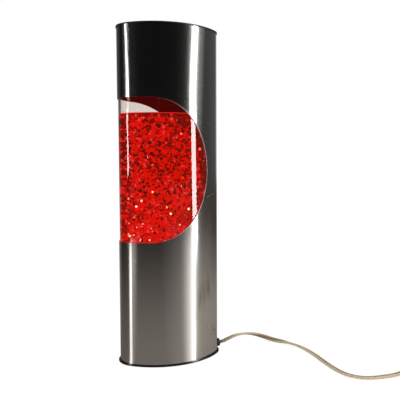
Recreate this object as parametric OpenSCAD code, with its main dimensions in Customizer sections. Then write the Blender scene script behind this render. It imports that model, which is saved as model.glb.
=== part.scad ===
// Glitter lamp: an oval brushed-steel sleeve with a wrap-round window, a tank of red glitter fluid,
// a bulb below the tank, a cap, a base and a flat mains lead with an in-line switch and a plug.
// Millimetres, +Z up, +X towards the end where the lead comes out, the front towards -Y.

/* [Sleeve] */
// Height of the whole lamp
body_h = 360; // [335:1:400]
// Width of the sleeve, across its long axis
body_w = 112.5; // [106:0.5:122]
// Depth of the sleeve
body_d = 70; // [66:0.5:76]
// Radius of the sleeve's two ends
end_r = 22; // [19:0.5:25]
// Thickness of the sheet steel
sleeve_t = 0.6; // [0.5:0.1:1]

/* [Window] */
// Height of the window's lower edge above the table
window_sill = 132; // [126:1:145]
// Height of the window
window_h = 152; // [140:1:160]
// How far the window reaches past the middle
window_reach = 35; // [28:0.5:40]
// Radius of the window's rounded nose
window_nose_r = 85; // [82:1:100]
// Radius of the window's two corners
window_corner_r = 64; // [60:1:68]

/* [Base and cap] */
// Radius of a foot pad
foot_r = 5; // [3.5:0.5:6]
// Thickness of a foot pad
foot_t = 0.8; // [0.7:0.1:1]
// How far the pads stand out of the base
foot_proud = 0.3; // [0.2:0.1:0.6]
// Thickness of the base's lip and floor
base_lip_t = 1.1; // [1.1:0.1:3]
// How far the base's lip stands out past the sleeve
base_lip_over = 1.9; // [1:0.1:3]
// Height of the base's upstand inside the sleeve
base_skirt_h = 13; // [12:0.5:16]
// Wall of the base's upstand
base_skirt_t = 2; // [1.6:0.1:2.6]
// Radius of a vent hole in the base
vent_r = 1.8; // [1.2:0.1:2.4]
// Thickness of the cap's lip and top
cap_lip_t = 1.2; // [1:0.1:4]
// How far the cap's lip stands out past the sleeve
cap_lip_over = 0.7; // [0.5:0.1:3]
// Depth of the cap's plug-in rim
cap_skirt_h = 11; // [8:0.5:13]
// Wall of the cap's plug-in rim
cap_skirt_t = 1.8; // [1.4:0.1:2.4]

/* [Tank] */
// Gap between the sleeve and the tank
tank_gap = 0.4; // [0.3:0.05:0.8]
// Wall of the tank
tank_wall = 2.5; // [2:0.1:3.5]
// Thickness of the tank's floor
tank_floor_t = 3; // [2:0.1:5]
// Thickness of the tank's lid
tank_lid_t = 3; // [2:0.1:4]
// How deep the lid's rim sits inside the tank
lid_rim_h = 2; // [1:0.1:4]
// How far the tank starts below the window
sill_drop = 15.5; // [12:0.5:18]
// Space left between the tank's walls and the cap
head_room = 24; // [20:0.5:30]
// How far the fluid stops below the window's top
level_drop = 16; // [10:0.5:30]
// Radius of the filler plug's shank
filler_r = 6; // [4:0.5:8]
// Radius of the filler plug's head
filler_head_r = 9; // [8.5:0.5:11]
// Height of the filler plug's head
filler_head_h = 4; // [3:0.5:6]
// Thickness of the filler seal
seal_t = 1; // [0.6:0.1:1.6]
// Size of a glitter flake across its corners
flake_w = 3; // [2:0.1:3.6]
// Thickness of a glitter flake
flake_t = 0.3; // [0.2:0.05:0.5]

/* [Tank stand] */
// Thickness of the shelf ring
shelf_t = 1.5; // [1:0.1:2.5]
// Width of the shelf ring
shelf_rim = 10; // [8.5:0.5:12]
// Thickness of the rubber seat on the shelf
pad_t = 2; // [1:0.1:3]
// Radius of a leg
leg_r = 2.5; // [2.2:0.1:3.5]
// Height of the bosses that the legs stand on
leg_boss_h = 5; // [4:0.5:8]
// Angle of the legs from the middle, round the side arcs
leg_angle = 24; // [22:1:27]

/* [Lampholder] */
// Distance between the bracket's two screws
bracket_span = 40; // [38:0.5:44]
// Width of the bracket
bracket_w = 14; // [13:0.5:18]
// Thickness of the bracket
bracket_t = 1.5; // [1:0.1:2]
// Height of the bosses under the bracket
bracket_boss_h = 9; // [8.5:0.5:12]
// Outer radius of the holder
holder_r = 13; // [12:0.5:14.5]
// Height of the holder
holder_h = 32; // [31:0.5:38]
// Radius of the hollow nipple that fixes the holder
nipple_r = 5; // [4.5:0.1:5.5]
// Radius of the nipple's bore
nipple_bore_r = 3.4; // [3:0.1:3.6]
// Thickness of the nipple's nut
nut_t = 3; // [2:0.1:3.5]

/* [Bulb] */
// Radius of the bulb's screw cap
bulb_cap_r = 6.9; // [6.4:0.1:7.2]
// Height of the bulb's screw cap
bulb_cap_h = 16; // [14:0.5:18]
// Largest radius of the bulb's glass
bulb_r = 19.5; // [14:0.5:20.5]
// Length of the bulb's glass above the cap
bulb_glass_h = 45; // [38:0.5:47]
// Wall of the bulb's glass
bulb_wall = 0.8; // [0.6:0.1:1.2]

/* [Mains lead] */
// Width of the flat lead
cord_w = 5.4; // [5:0.1:5.6]
// Thickness of the flat lead
cord_t = 2.7; // [2.4:0.1:2.8]
// Radius of the black bush that the lead comes out of
bush_r = 4.8; // [4.4:0.1:4.9]
// How far the bush stands out of the sleeve
bush_out = 4.4; // [4:0.1:7]
// Height of the lead's exit above the table
bush_z = 6.4; // [6.4:0.1:8]
// Radius of an inner wire
wire_r = 1.1; // [0.8:0.05:1.2]

/* [Coil] */
// Loops in the put-away coil
coil_loops = 7.25; // [5.25:1:9.25]
// Radius of the outermost loop, at the middle of the lead
coil_r = 36; // [34:0.5:44]
// Step from loop to loop
coil_pitch = 3.6; // [3.5:0.1:3.8]
// Height from the lower to the upper layer
coil_step = 6.3; // [6:0.1:7]
// Thickness of the tie strap
tie_t = 0.8; // [0.6:0.1:1.4]
// Width of the tie strap
tie_w = 9; // [6:0.5:12]

/* [Switch] */
// Length of the in-line switch
switch_l = 58; // [54:1:66]
// Width of the switch
switch_w = 22; // [20:0.5:26]
// Height of each half of the switch's casing
switch_half_h = 7; // [6.5:0.1:9]
// Wall of the switch's casing
switch_wall = 1.8; // [1.4:0.1:2.2]
// Corner radius of the switch
switch_corner_r = 6; // [4:0.5:8]
// Length of the rocker
rocker_l = 14.4; // [12:0.2:16]
// Width of the rocker
rocker_w = 9; // [7:0.2:10]
// Angle that the rocker tilts each way from level
rocker_tilt = 8; // [5:1:10]

/* [Plug] */
// Width of the plug
plug_w = 24; // [22:0.5:28]
// Length of the plug's grip
plug_l = 24; // [20:0.5:30]
// Thickness of the plug
plug_h = 13; // [12:0.5:16]
// Length of the plug's tapered strain relief
boot_l = 20; // [20:0.5:26]
// Distance between the blades
blade_gap = 12.7; // [12:0.1:13.5]
// Width of a blade
blade_w = 6.3; // [6:0.1:7]
// Thickness of a blade
blade_t = 1.5; // [1.2:0.1:1.8]
// Length of the blades outside the plug
blade_l = 17; // [14:0.5:19]

/* [Fits and screws] */
// Clearance of pieces that slip into each other
slip = 0.3; // [0.3:0.05:0.5]
// Clearance of pieces that are fixed together
seat = 0.05; // [0.05:0.01:0.1]
// Radius of a screw's shank
screw_r = 1.4; // [1.2:0.1:1.6]
// Radius of a screw's head
screw_head_r = 2.7; // [2.4:0.1:3]
// Height of a screw's head
screw_head_h = 1.8; // [1.4:0.1:2]

/* [Hidden] */
$fn = 48;
// Anything longer than the lamp, for cuts that go right through
far = 1000;
// How far a rounding stands proud of the line or arc that it runs into, so that they cross cleanly
kiss = 0.02;

// The oval: end arcs about (+-end_x, 0) and side arcs about (0, -+side_off)
end_x = body_w / 2 - end_r;
flank = body_d / 2 - end_r;
side_off = (end_x ^ 2 - flank ^ 2) / (2 * flank);
side_r = side_off + body_d / 2;

// Heights of the housing
floor_z = foot_proud + base_lip_t;
sleeve_top = body_h - cap_lip_t;
sleeve_h = sleeve_top - floor_z;
inset = sleeve_t + slip;
side_screw_angle = 18;
side_screw_z = floor_z + base_skirt_h / 2;
side_boss_l = 7;
vent_step = 6;
vent_reach = 2 * vent_step;
vent_y = 10;

// The window's arcs, about the window's middle height
window_mid = window_sill + window_h / 2;
corner_z = window_h / 2 - window_corner_r;
nose_x = window_reach - window_nose_r;
corner_x = nose_x + sqrt((window_nose_r - window_corner_r) ^ 2 - corner_z ^ 2);
nose_z = window_nose_r * corner_z / (window_nose_r - window_corner_r);

// Heights of the tank and its stand
tank_z = window_sill - sill_drop;
seat_z = tank_z - pad_t;
shelf_z = seat_z - shelf_t;
tank_top = sleeve_top - head_room;
fluid_z = tank_z + tank_floor_t;
fluid_top = window_sill + window_h - level_drop;
tank_off = -(sleeve_t + tank_gap);
fluid_off = tank_off - tank_wall - seat;
filler_len = tank_lid_t + lid_rim_h + 2;
leg_z = floor_z + leg_boss_h;
leg_pin_r = 1.5;
leg_pin_h = 3.5;
leg_boss_r = leg_r + 1.5;
leg_off = inset + shelf_rim / 2;

// Heights of the lampholder and the bulb
bracket_z = floor_z + bracket_boss_h;
holder_z = bracket_z + bracket_t;
nipple_end = holder_z + 6.5;
chamber_top = holder_z + 12.5;
disc_t = 4;
thread_z = chamber_top + disc_t;
thread_flange_t = 0.6;
thread_r = bulb_cap_r + slip;
thread_t = 0.5;
disc_r = thread_r + 2.2;
tongue_t = 1;
tongue_r = 3;
tip_z = thread_z + tongue_t;
tip_h = 2.5;
tip_r = 2.5;
insulator_h = 2.5;
bulb_cap_z = tip_z + tip_h + insulator_h;
bulb_cap_wall = 0.4;
glass_z = bulb_cap_z + bulb_cap_h;
glass_tail = 6;
neck_r = bulb_cap_r - bulb_cap_wall - seat;
stem_r = 2.4;
stem_top = glass_z + 14;
support_x = 3.5;
support_r = 0.3;
filament_z = stem_top + 9;
boss_r = screw_r + 2.6;

// The lead where it leaves the lamp, and the grip behind it
bush_x = body_w / 2;
bush_tip = bush_x + bush_out;
bush_neck_r = bush_r - 1;
bush_flange_t = 1.5;
bush_flange_r = bush_r - 0.2;
lead_gap = 0.15;
grip_in = 18.25;
grip_x = bush_x - grip_in;
grip_y = 8;
grip_w = 7;
grip_bar_t = 3;
lead_end = grip_x - 9;
grip_low = bush_z - cord_t / 2 - seat;
grip_high = bush_z + cord_t / 2 + seat;
wire_y = cord_w / 4;

// The free lead's route along the table: x, y, z and roll of the flat, from the bush to the switch
lead_route = [
    [bush_tip, 0, bush_z, 0], [62, 0, bush_z, 0], [66, 0.2, 6.7, 0], [72, 2, 7.6, -3], [79, 5, 8.3, -6],
    [86, 8.5, 8.3, -10], [93, 11.2, 7.9, -14], [98.5, 12.8, 7.5, -18], [104.5, 13.3, 6.9, -23],
    [110.8, 11.9, 6.1, -35], [116.5, 8.7, 5.1, -60], [121, 4.3, 4.2, -90], [124.2, -1.3, 3.7, -110],
    [127.2, -7.2, 3.3, -122],
    [131, -13.5, 3, -140], [135.5, -20, 2.9, -165], [139.5, -27, 2.8, -200], [143, -35, 2.7, -205],
    [145.5, -45, 2.4, -198], [146.5, -57, 2, -190], [146, -70, 1.8, -184], [144.5, -83, 1.7, -180],
    [143, -96, 1.6, -180], [142, -108, 1.6, -180], [142, -119, 1.6, -180], [143.5, -128.5, 1.6, -180],
    [147.5, -136.5, 1.6, -180], [154, -142.6, 1.6, -180], [162.5, -146, 1.6, -180],
    [172, -147.6, 1.6, -180], [182, -149, 1.8, -180], [192, -150.4, 3, -180],
    [202, -151.7, 5.8, -180], [206, -152, 6.7, -180], [209.5, -152, 7, -180], [212, -152, 7, -180]];
lead_points = [for (p = lead_route) [p[0], p[1], p[2]]];
lead_rolls = [for (p = lead_route) p[3]];
lead_last = lead_points[len(lead_points) - 1];

// The switch lies at the route's end, and the coil past the switch
switch_x = lead_last[0] + switch_l / 2;
switch_y = lead_last[1];
switch_lead_z = switch_half_h;
switch_in_l = switch_l - 2 * switch_wall;
switch_in_w = switch_w - 2 * switch_wall;
switch_in_r = switch_corner_r - switch_wall;
switch_screw_x = 20;
switch_screw_y = switch_in_w / 2 - 3;
switch_top = 2 * switch_half_h;
pivot_z = switch_top - 3.5;
pivot_r = 1.1;
ear_t = 1.4;
ear_l = 6;
bridge_l = 12;
bridge_w = 5;
bridge_t = 0.6;
rocker_foot = 2.4;
rocker_foot_z = -2.4;
rocker_rise = 3;
rocker_dip = 1.2;
terminal_h = 2.4;
terminal_block = 5;
terminal_x = switch_screw_x - 8;
post_t = 0.8;
post_x = bridge_l / 2 - 1;

coil_y = switch_y + coil_r;
coil_lead_in = 34;
coil_x = switch_x + switch_l / 2 + coil_lead_in;
coil_low = cord_w / 2 + tie_t + 0.2;
coil_high = coil_low + coil_step;
coil_lead_out = 26;
rings_a_loop = 24;
loop_sides = 6;

// The plug lies past the coil's end, its blades pointing away from it
plug_x = coil_x + coil_r;
plug_y = coil_y + coil_lead_out;
plug_z = plug_h / 2;
blade_in = 8;

// Vectors along a swept lead: at each point the flat lies across the path, turned by its roll
function unit(v) = v / norm(v);
function heading(path, i) = unit(path[min(i + 1, len(path) - 1)] - path[max(i - 1, 0)]);
function ring(p, t, side, roll, shape) =
    let (n = is_undef(side) ? unit(cross([0, 0, 1], t)) : side, b = cross(t, n))
    [for (q = shape)
        p + (q[0] * cos(roll) - q[1] * sin(roll)) * n + (q[0] * sin(roll) + q[1] * cos(roll)) * b];
function rings(path, rolls, shape, side) =
    [for (i = [0 : len(path) - 1]) ring(path[i], heading(path, i), side, rolls[i], shape)];
// A flat lead's outline with rounded edges, in eight points, and in six for the coil
function flat_lead(w, t) =
    [for (i = [0 : 7]) let (a = 22.5 + 45 * i)
        [sign(cos(a)) * (w - t) / 2 + t / 2 * cos(a), t / 2 * sin(a)]];
function coil_lead(w, t) =
    [[w / 2, 0], [w / 4, t / 2], [-w / 4, t / 2], [-w / 2, 0], [-w / 4, -t / 2], [w / 4, -t / 2]];
function round_wire(r) = [for (i = [0 : 7]) r * [cos(45 * i), sin(45 * i)]];

// A closed tube through a list of rings, all triangles
module tube(loops) {
    s = len(loops[0]);
    n = len(loops) - 1;
    points = [for (l = loops) each l];
    first = [for (j = [1 : s - 2]) [0, j, j + 1]];
    last = [for (j = [1 : s - 2]) [n * s, n * s + j + 1, n * s + j]];
    sides = [for (i = [0 : n - 1], j = [0 : s - 1])
        let (k = (j + 1) % s)
        each [[i * s + j, i * s + s + j, i * s + s + k], [i * s + j, i * s + s + k, i * s + k]]];
    polyhedron(points, concat(first, sides, last));
}

// The sleeve's outline, grown by off: two side arcs and two end arcs that run into each other
module oval(off = 0) {
    intersection() {
        translate([0, -side_off]) circle(side_r + off - kiss);
        translate([0, side_off]) circle(side_r + off - kiss);
        square([2 * (side_r + off) * end_x / (side_r - end_r), 2 * body_d], center = true);
    }
    for (s = [-1, 1]) translate([s * end_x, 0]) circle(end_r + off);
}

module oval_ring(outer, wall) {
    difference() {
        oval(outer);
        oval(outer - wall);
    }
}

// Places children on the back's side arc, z pointing out of it
module on_back(angle, z) {
    translate([0, -side_off, z]) rotate([0, 0, -angle]) translate([0, side_r, 0]) rotate([-90, 0, 0])
        children();
}

module on_legs() {
    for (sx = [-1, 1], sy = [-1, 1])
        translate([sx * (side_r - leg_off) * sin(leg_angle),
            sy * ((side_r - leg_off) * cos(leg_angle) - side_off), 0])
            children();
}

// A pan-head screw: the underside of its head at z = 0, its shank downwards
module screw(length) {
    difference() {
        union() {
            cylinder(r = screw_head_r, h = screw_head_h);
            translate([0, 0, -length]) cylinder(r = screw_r, h = length + screw_head_h / 2);
        }
        for (a = [0, 90]) rotate(a)
            translate([-screw_head_r * 0.6, -0.35, screw_head_h * 0.55])
                cube([screw_head_r * 1.2, 0.7, screw_head_h]);
    }
}

module rounded_plate(l, w, r, h) {
    linear_extrude(h) {
        square([l - 2 * r, w - 2 * kiss], center = true);
        square([l - 2 * kiss, w - 2 * r], center = true);
        for (sx = [-1, 1], sy = [-1, 1]) translate([sx * (l / 2 - r), sy * (w / 2 - r)]) circle(r);
    }
}

// The flat lead's own hole, along +Z, grown by gap
module lead_hole(h, gap = lead_gap) {
    linear_extrude(h) {
        square([cord_w - cord_t, cord_t + 2 * gap], center = true);
        for (s = [-1, 1]) translate([s * (cord_w - cord_t) / 2, 0]) circle(cord_t / 2 + gap);
    }
}

// Turns +Z along +X with the flat lead's width across Y
module along_x() {
    rotate([90, 0, 90]) children();
}

module window_outline() {
    translate([corner_x - far, kiss - window_h / 2]) square([far, window_h - 2 * kiss]);
    for (s = [-1, 1]) translate([corner_x, s * corner_z]) circle(window_corner_r);
    intersection() {
        translate([nose_x, 0]) circle(window_nose_r - kiss);
        translate([corner_x, -nose_z]) square([far, 2 * nose_z]);
    }
}

module sleeve() {
    color("silver") difference() {
        translate([0, 0, floor_z]) linear_extrude(sleeve_h) oval_ring(0, sleeve_t);
        translate([0, body_d, window_mid]) rotate([90, 0, 0]) linear_extrude(2 * body_d) window_outline();
        translate([end_x, 0, bush_z]) rotate([0, 90, 0]) cylinder(r = bush_neck_r + seat, h = 2 * end_r);
        for (s = [-1, 1]) on_back(s * side_screw_angle, side_screw_z)
            translate([0, 0, -sleeve_t - slip]) cylinder(r = screw_r + seat, h = 2 * sleeve_t + 2 * slip);
    }
}

module base_tray() {
    color("black") difference() {
        union() {
            translate([0, 0, foot_proud]) linear_extrude(base_lip_t) oval(base_lip_over);
            translate([0, 0, floor_z]) linear_extrude(base_skirt_h) oval_ring(-inset, base_skirt_t);
            on_legs() translate([0, 0, floor_z]) cylinder(r = leg_boss_r, h = leg_boss_h);
            for (s = [-1, 1]) translate([0, s * bracket_span / 2, floor_z])
                cylinder(r = boss_r, h = bracket_boss_h);
            for (s = [-1, 1]) translate([grip_x, s * grip_y, floor_z])
                cylinder(r = boss_r - 0.8, h = grip_high - floor_z);
            translate([grip_x - grip_w / 2, -cord_w / 2, floor_z]) cube([grip_w, cord_w, grip_low - floor_z]);
            for (s = [-1, 1]) on_back(s * side_screw_angle, side_screw_z)
                translate([0, 0, -inset - side_boss_l])
                    cylinder(r = boss_r - 0.6, h = side_boss_l - base_skirt_t / 2);
        }
        // pockets for the feet, pilot holes, vents and the notch behind the bush
        on_feet() cylinder(r = foot_r + seat, h = foot_t);
        on_legs() translate([0, 0, leg_z - leg_pin_h - seat]) cylinder(r = leg_pin_r + seat, h = far);
        for (s = [-1, 1]) translate([0, s * bracket_span / 2, bracket_z - 6])
            cylinder(r = screw_r + seat, h = far);
        for (s = [-1, 1]) translate([grip_x, s * grip_y, grip_high - 5])
            cylinder(r = screw_r + seat, h = far);
        for (s = [-1, 1]) on_back(s * side_screw_angle, side_screw_z)
            translate([0, 0, -inset - side_boss_l - slip]) cylinder(r = screw_r + seat, h = 2 * side_boss_l);
        for (x = [-vent_reach : vent_step : vent_reach], s = [-1, 1]) translate([x, s * vent_y, 0])
            cylinder(r = vent_r, h = floor_z + 1);
        translate([bush_x - inset - base_skirt_t - 3, -bush_flange_r - slip, floor_z])
            cube([end_r, 2 * (bush_flange_r + slip), far]);
    }
}

module on_feet() {
    for (sx = [-1, 1], sy = [-1, 1])
        translate([sx * end_x, sy * (end_r - foot_r - base_skirt_t - inset), 0]) children();
}

module foot_pads() {
    color("dimgray") on_feet() cylinder(r = foot_r, h = foot_t);
}

module sleeve_screws() {
    color("gainsboro") for (s = [-1, 1]) on_back(s * side_screw_angle, side_screw_z)
        screw(sleeve_t + slip + base_skirt_t + 3);
}

module top_cap() {
    color("black") {
        translate([0, 0, sleeve_top]) linear_extrude(cap_lip_t) oval(cap_lip_over);
        translate([0, 0, sleeve_top - cap_skirt_h]) linear_extrude(cap_skirt_h)
            oval_ring(-inset, cap_skirt_t);
    }
}

module tank_body() {
    color("lavender", 0.3) {
        translate([0, 0, tank_z]) linear_extrude(tank_floor_t) oval(tank_off);
        translate([0, 0, fluid_z]) linear_extrude(tank_top - fluid_z) oval_ring(tank_off, tank_wall);
    }
}

module tank_lid() {
    color("lavender", 0.4) difference() {
        union() {
            translate([0, 0, tank_top]) linear_extrude(tank_lid_t) oval(tank_off);
            translate([0, 0, tank_top - lid_rim_h]) linear_extrude(lid_rim_h)
                oval(tank_off - tank_wall - slip);
        }
        translate([0, 0, tank_top - far / 2]) cylinder(r = filler_r + seat, h = far);
    }
}

module filler_seal() {
    color("dimgray") translate([0, 0, tank_top + tank_lid_t]) difference() {
        cylinder(r = filler_head_r, h = seal_t);
        translate([0, 0, -1]) cylinder(r = filler_r + seat, h = seal_t + 2);
    }
}

module filler_plug() {
    head_z = tank_top + tank_lid_t + seal_t;
    color("black") difference() {
        union() {
            translate([0, 0, head_z - seal_t - filler_len]) cylinder(r = filler_r, h = seal_t + filler_len);
            translate([0, 0, head_z]) cylinder(r = filler_head_r, h = filler_head_h);
        }
        translate([-filler_head_r, -1, head_z + filler_head_h / 2]) cube([2 * filler_head_r, 2, far]);
    }
}

module glitter_fluid() {
    color("red", 0.6) translate([0, 0, fluid_z + seat]) linear_extrude(fluid_top - fluid_z - seat)
        oval(fluid_off);
}

// Flakes on a staggered lattice, each turned its own way
module glitter_flakes() {
    cols = 6;
    layers = 7;
    span_x = 2 * (end_x + end_r / 3);
    span_z = fluid_top - fluid_z;
    color("gold") for (i = [0 : cols - 1], row = [-1, 1], k = [0 : layers - 1]) {
        dice = rands(-1, 1, 4, 100 * i + 10 * k + row);
        x = span_x * ((i + 0.5) / cols - 0.5) + 3 * dice[0];
        z = fluid_z + span_z * (k + 0.5) / layers + 5 * dice[1];
        y = row * (flank / 2 + 3 * dice[2]);
        translate([x, y, z]) rotate([180 * dice[3], 180 * dice[0], 180 * dice[1]])
            cylinder(d = flake_w, h = flake_t, center = true, $fn = 6);
    }
}

module tank_shelf() {
    color("silver") translate([0, 0, shelf_z]) difference() {
        linear_extrude(shelf_t) oval_ring(-inset, shelf_rim);
        on_legs() translate([0, 0, -1]) cylinder(r = leg_pin_r + seat, h = shelf_t + 2);
    }
}

module shelf_legs() {
    color("silver") on_legs() {
        translate([0, 0, leg_z]) cylinder(r = leg_r, h = shelf_z - leg_z);
        translate([0, 0, leg_z - leg_pin_h])
            cylinder(r = leg_pin_r, h = shelf_z + shelf_t - leg_z + leg_pin_h);
    }
}

module shelf_seat() {
    color("dimgray") translate([0, 0, seat_z]) linear_extrude(pad_t) oval_ring(-inset - 1, shelf_rim - 2);
}

module holder_bracket() {
    color("silver") translate([0, 0, bracket_z]) difference() {
        linear_extrude(bracket_t) {
            square([bracket_w, bracket_span], center = true);
            for (s = [-1, 1]) translate([0, s * bracket_span / 2]) circle(bracket_w / 2);
        }
        for (s = [-1, 1]) translate([0, s * bracket_span / 2, -1])
            cylinder(r = screw_r + seat, h = bracket_t + 2);
        translate([0, 0, -1]) cylinder(r = nipple_r + seat, h = bracket_t + 2);
    }
}

module bracket_screws() {
    color("gainsboro") for (s = [-1, 1]) translate([0, s * bracket_span / 2, bracket_z + bracket_t])
        screw(bracket_t + 5);
}

module holder_nipple() {
    color("gold") translate([0, 0, bracket_z - nut_t - 0.4]) difference() {
        cylinder(r = nipple_r, h = nipple_end - bracket_z + nut_t + 0.4);
        translate([0, 0, -1]) cylinder(r = nipple_bore_r, h = far);
    }
}

module nipple_nut() {
    color("gold") translate([0, 0, bracket_z - nut_t]) difference() {
        cylinder(r = nipple_r + 3, h = nut_t, $fn = 6);
        translate([0, 0, -1]) cylinder(r = nipple_r + seat, h = nut_t + 2);
    }
}

module holder_body() {
    color("ivory") translate([0, 0, holder_z]) difference() {
        cylinder(r = holder_r, h = holder_h);
        translate([0, 0, -1]) cylinder(r = nipple_r + seat, h = far);
        translate([0, 0, nipple_end - holder_z]) cylinder(r = disc_r - 2, h = far);
        translate([0, 0, chamber_top - holder_z]) cylinder(r = disc_r + seat, h = far);
    }
}

module holder_terminals() {
    size = 4;
    color("gold") for (s = [-1, 1])
        translate([-size / 2, s * (wire_y + wire_r + seat + size / 2) - size / 2, chamber_top - size])
            cube(size);
}

module holder_disc() {
    color("ivory") translate([0, 0, chamber_top]) cylinder(r = disc_r, h = disc_t);
}

module holder_thread() {
    color("gold") translate([0, 0, thread_z]) difference() {
        union() {
            cylinder(r = thread_r + thread_t, h = bulb_cap_h - 2);
            cylinder(r = disc_r, h = thread_flange_t);
        }
        translate([0, 0, -1]) cylinder(r = thread_r, h = far);
    }
}

module holder_tongue() {
    color("gold") translate([0, 0, thread_z]) cylinder(r = tongue_r, h = tongue_t);
}

module bulb_tip() {
    color("silver") translate([0, 0, tip_z]) cylinder(r = tip_r, h = tip_h);
}

module bulb_insulator() {
    color("black") translate([0, 0, tip_z + tip_h])
        cylinder(r1 = tip_r + 0.8, r2 = bulb_cap_r - 0.3, h = insulator_h);
}

module bulb_cap() {
    color("gold") translate([0, 0, bulb_cap_z]) difference() {
        cylinder(r = bulb_cap_r, h = bulb_cap_h);
        translate([0, 0, 1]) cylinder(r = bulb_cap_r - bulb_cap_wall, h = far);
    }
}

// The glass swells from its neck to its widest ring at two thirds of its height, then closes in a dome
function glass_r(u) =
    u < 0.65 ? neck_r + (bulb_r - neck_r) * (1 - cos(180 * u / 0.65)) / 2
    : bulb_r * sqrt(max(0, 1 - ((u - 0.65) / 0.35) ^ 2));

module bulb_glass() {
    steps = 20;
    last = 1 - 1 / steps / 8;
    function at(u, wall) = [max(glass_r(u) - wall, 0), u * bulb_glass_h - wall * max(0, (u - 0.65) / 0.35)];
    outer = [for (i = [0 : steps]) at(last * i / steps, 0)];
    inner = [for (i = [steps : -1 : 0]) at(last * i / steps, bulb_wall)];
    tail = [[neck_r - bulb_wall, -glass_tail], [neck_r, -glass_tail]];
    top_out = [[0, bulb_glass_h], [0, bulb_glass_h - bulb_wall]];
    color("white", 0.4) translate([0, 0, glass_z]) rotate_extrude()
        polygon(concat(outer, top_out, inner, tail));
}

module bulb_stem() {
    color("white", 0.4) {
        translate([0, 0, glass_z - glass_tail]) cylinder(r = stem_r, h = stem_top - glass_z + glass_tail);
        translate([0, 0, glass_z - glass_tail - 1]) cylinder(r = neck_r, h = 1);
        translate([-support_x - 1, -stem_r / 2, stem_top - 3]) cube([2 * support_x + 2, stem_r, 3]);
    }
}

module bulb_filament() {
    color("silver") {
        for (s = [-1, 1]) translate([s * support_x, 0, stem_top])
            cylinder(r = support_r, h = filament_z - stem_top + support_r);
        translate([-support_x, 0, filament_z]) rotate([0, 90, 0]) cylinder(r = support_r, h = 2 * support_x);
    }
}

// The bush, turned about the lead: a flange inside the sleeve, a neck through it and a dome outside
module cord_bush() {
    flange_x = -sleeve_t - bush_flange_t - 1.5;
    tip_r = bush_r - 0.8;
    dome = [for (a = [0 : 15 : 90]) [tip_r + (bush_r - tip_r) * cos(a), 1 + (bush_out - 1) * sin(a)]];
    color("black") translate([bush_x, 0, bush_z]) difference() {
        rotate([0, 90, 0]) rotate_extrude()
            polygon(concat([[0, flange_x], [bush_flange_r, flange_x],
                [bush_flange_r, flange_x + bush_flange_t], [bush_neck_r, flange_x + bush_flange_t],
                [bush_neck_r, seat], [bush_r, seat]],
                dome, [[0, bush_out]]));
        translate([-end_r, 0, 0]) along_x() lead_hole(2 * end_r);
    }
}

module inner_lead() {
    path = [for (x = [bush_tip, bush_x - 4, grip_x, lead_end]) [x, 0, bush_z]];
    color("tan") tube(rings(path, [for (p = path) 0], flat_lead(cord_w, cord_t)));
}

module inner_wires() {
    low = floor_z + wire_r + 0.8;
    path = [[lead_end, 0, bush_z], [lead_end - 1.5, 0, bush_z], [22, 0, bush_z - 1.4], [15, 0, low + 1],
        [8, 0, low], [3.4, 0, low + 0.8], [1, 0, low + 3.4], [0, 0, low + 7], [0, 0, chamber_top - 1]];
    color("tan") for (s = [-1, 1])
        tube(rings([for (p = path) p + [0, s * wire_y, 0]], [for (p = path) 0],
            round_wire(wire_r), [0, 1, 0]));
}

module grip_bar() {
    color("black") translate([grip_x, 0, grip_high]) difference() {
        rotate(90) rounded_plate(2 * grip_y + grip_w, grip_w, grip_w / 2 - 0.1, grip_bar_t);
        for (s = [-1, 1]) translate([0, s * grip_y, -1]) cylinder(r = screw_r + seat, h = grip_bar_t + 2);
    }
}

module grip_screws() {
    color("gainsboro") for (s = [-1, 1]) translate([grip_x, s * grip_y, grip_high + grip_bar_t])
        screw(grip_bar_t + 4);
}

module cord_lead() {
    color("tan") tube(rings(lead_points, lead_rolls, flat_lead(cord_w, cord_t)));
}

// The coil spirals in on the lower layer, climbs in the half turn where it reverses, and spirals out
function ease(u) = (1 - cos(180 * min(max(u, 0), 1))) / 2;
function coil_at(t) =
    let (r = coil_r - coil_pitch * min(t, coil_loops - t), a = 360 * t - 90,
        z = coil_low + coil_step * ease(2 * (t - coil_loops / 2) + 0.5))
    [coil_x + r * cos(a), coil_y + r * sin(a), z];
coil_rings = round(coil_loops * rings_a_loop);
coil_in = [for (u = [0, 0.18, 0.4, 0.6, 0.8])
    [coil_x - coil_lead_in * (1 - u), switch_y,
        switch_lead_z + (coil_low - switch_lead_z) * ease((u - 0.18) / 0.82), 90 * ease((u - 0.18) / 0.7)]];
coil_out = [for (u = [0.25, 0.5, 0.78, 1])
    [plug_x, coil_y + coil_lead_out * u, coil_high + (plug_z - coil_high) * ease(u / 0.78), 90]];
coil_points = concat([for (p = coil_in) [p[0], p[1], p[2]]],
    [for (k = [0 : coil_rings]) coil_at(k / rings_a_loop)], [for (p = coil_out) [p[0], p[1], p[2]]]);
coil_rolls = concat([for (p = coil_in) p[3]], [for (k = [0 : coil_rings]) 90], [for (p = coil_out) p[3]]);

// Least distance between the points of one loop and those of its neighbours, at most a ring apart
function loop_gap(loops, first) =
    min([for (k = [0 : coil_rings], d = [rings_a_loop - 1 : coil_rings - k])
        if (min(d % rings_a_loop, rings_a_loop - d % rings_a_loop) < 2)
            for (p = loops[first + k], q = loops[first + k + d]) norm(p - q)]);

module cord_coil() {
    loops = rings(coil_points, coil_rolls, coil_lead(cord_w, cord_t));
    echo(coil_least_gap = loop_gap(loops, len(coil_in)));
    color("tan") tube(loops);
}

module coil_tie() {
    room = slip + 0.6;
    wide = coil_pitch * coil_loops / 2 + cord_t + 2 * room;
    high = coil_high + cord_w / 2 + slip - tie_t;
    color("black") translate([coil_x - coil_r - cord_t / 2 - room, coil_y + tie_w / 2, 0]) rotate([90, 0, 0])
        linear_extrude(tie_w) difference() {
            translate([-tie_t, 0]) square([wide + 2 * tie_t, high + 2 * tie_t]);
            translate([0, tie_t]) square([wide, high]);
        }
}

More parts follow.
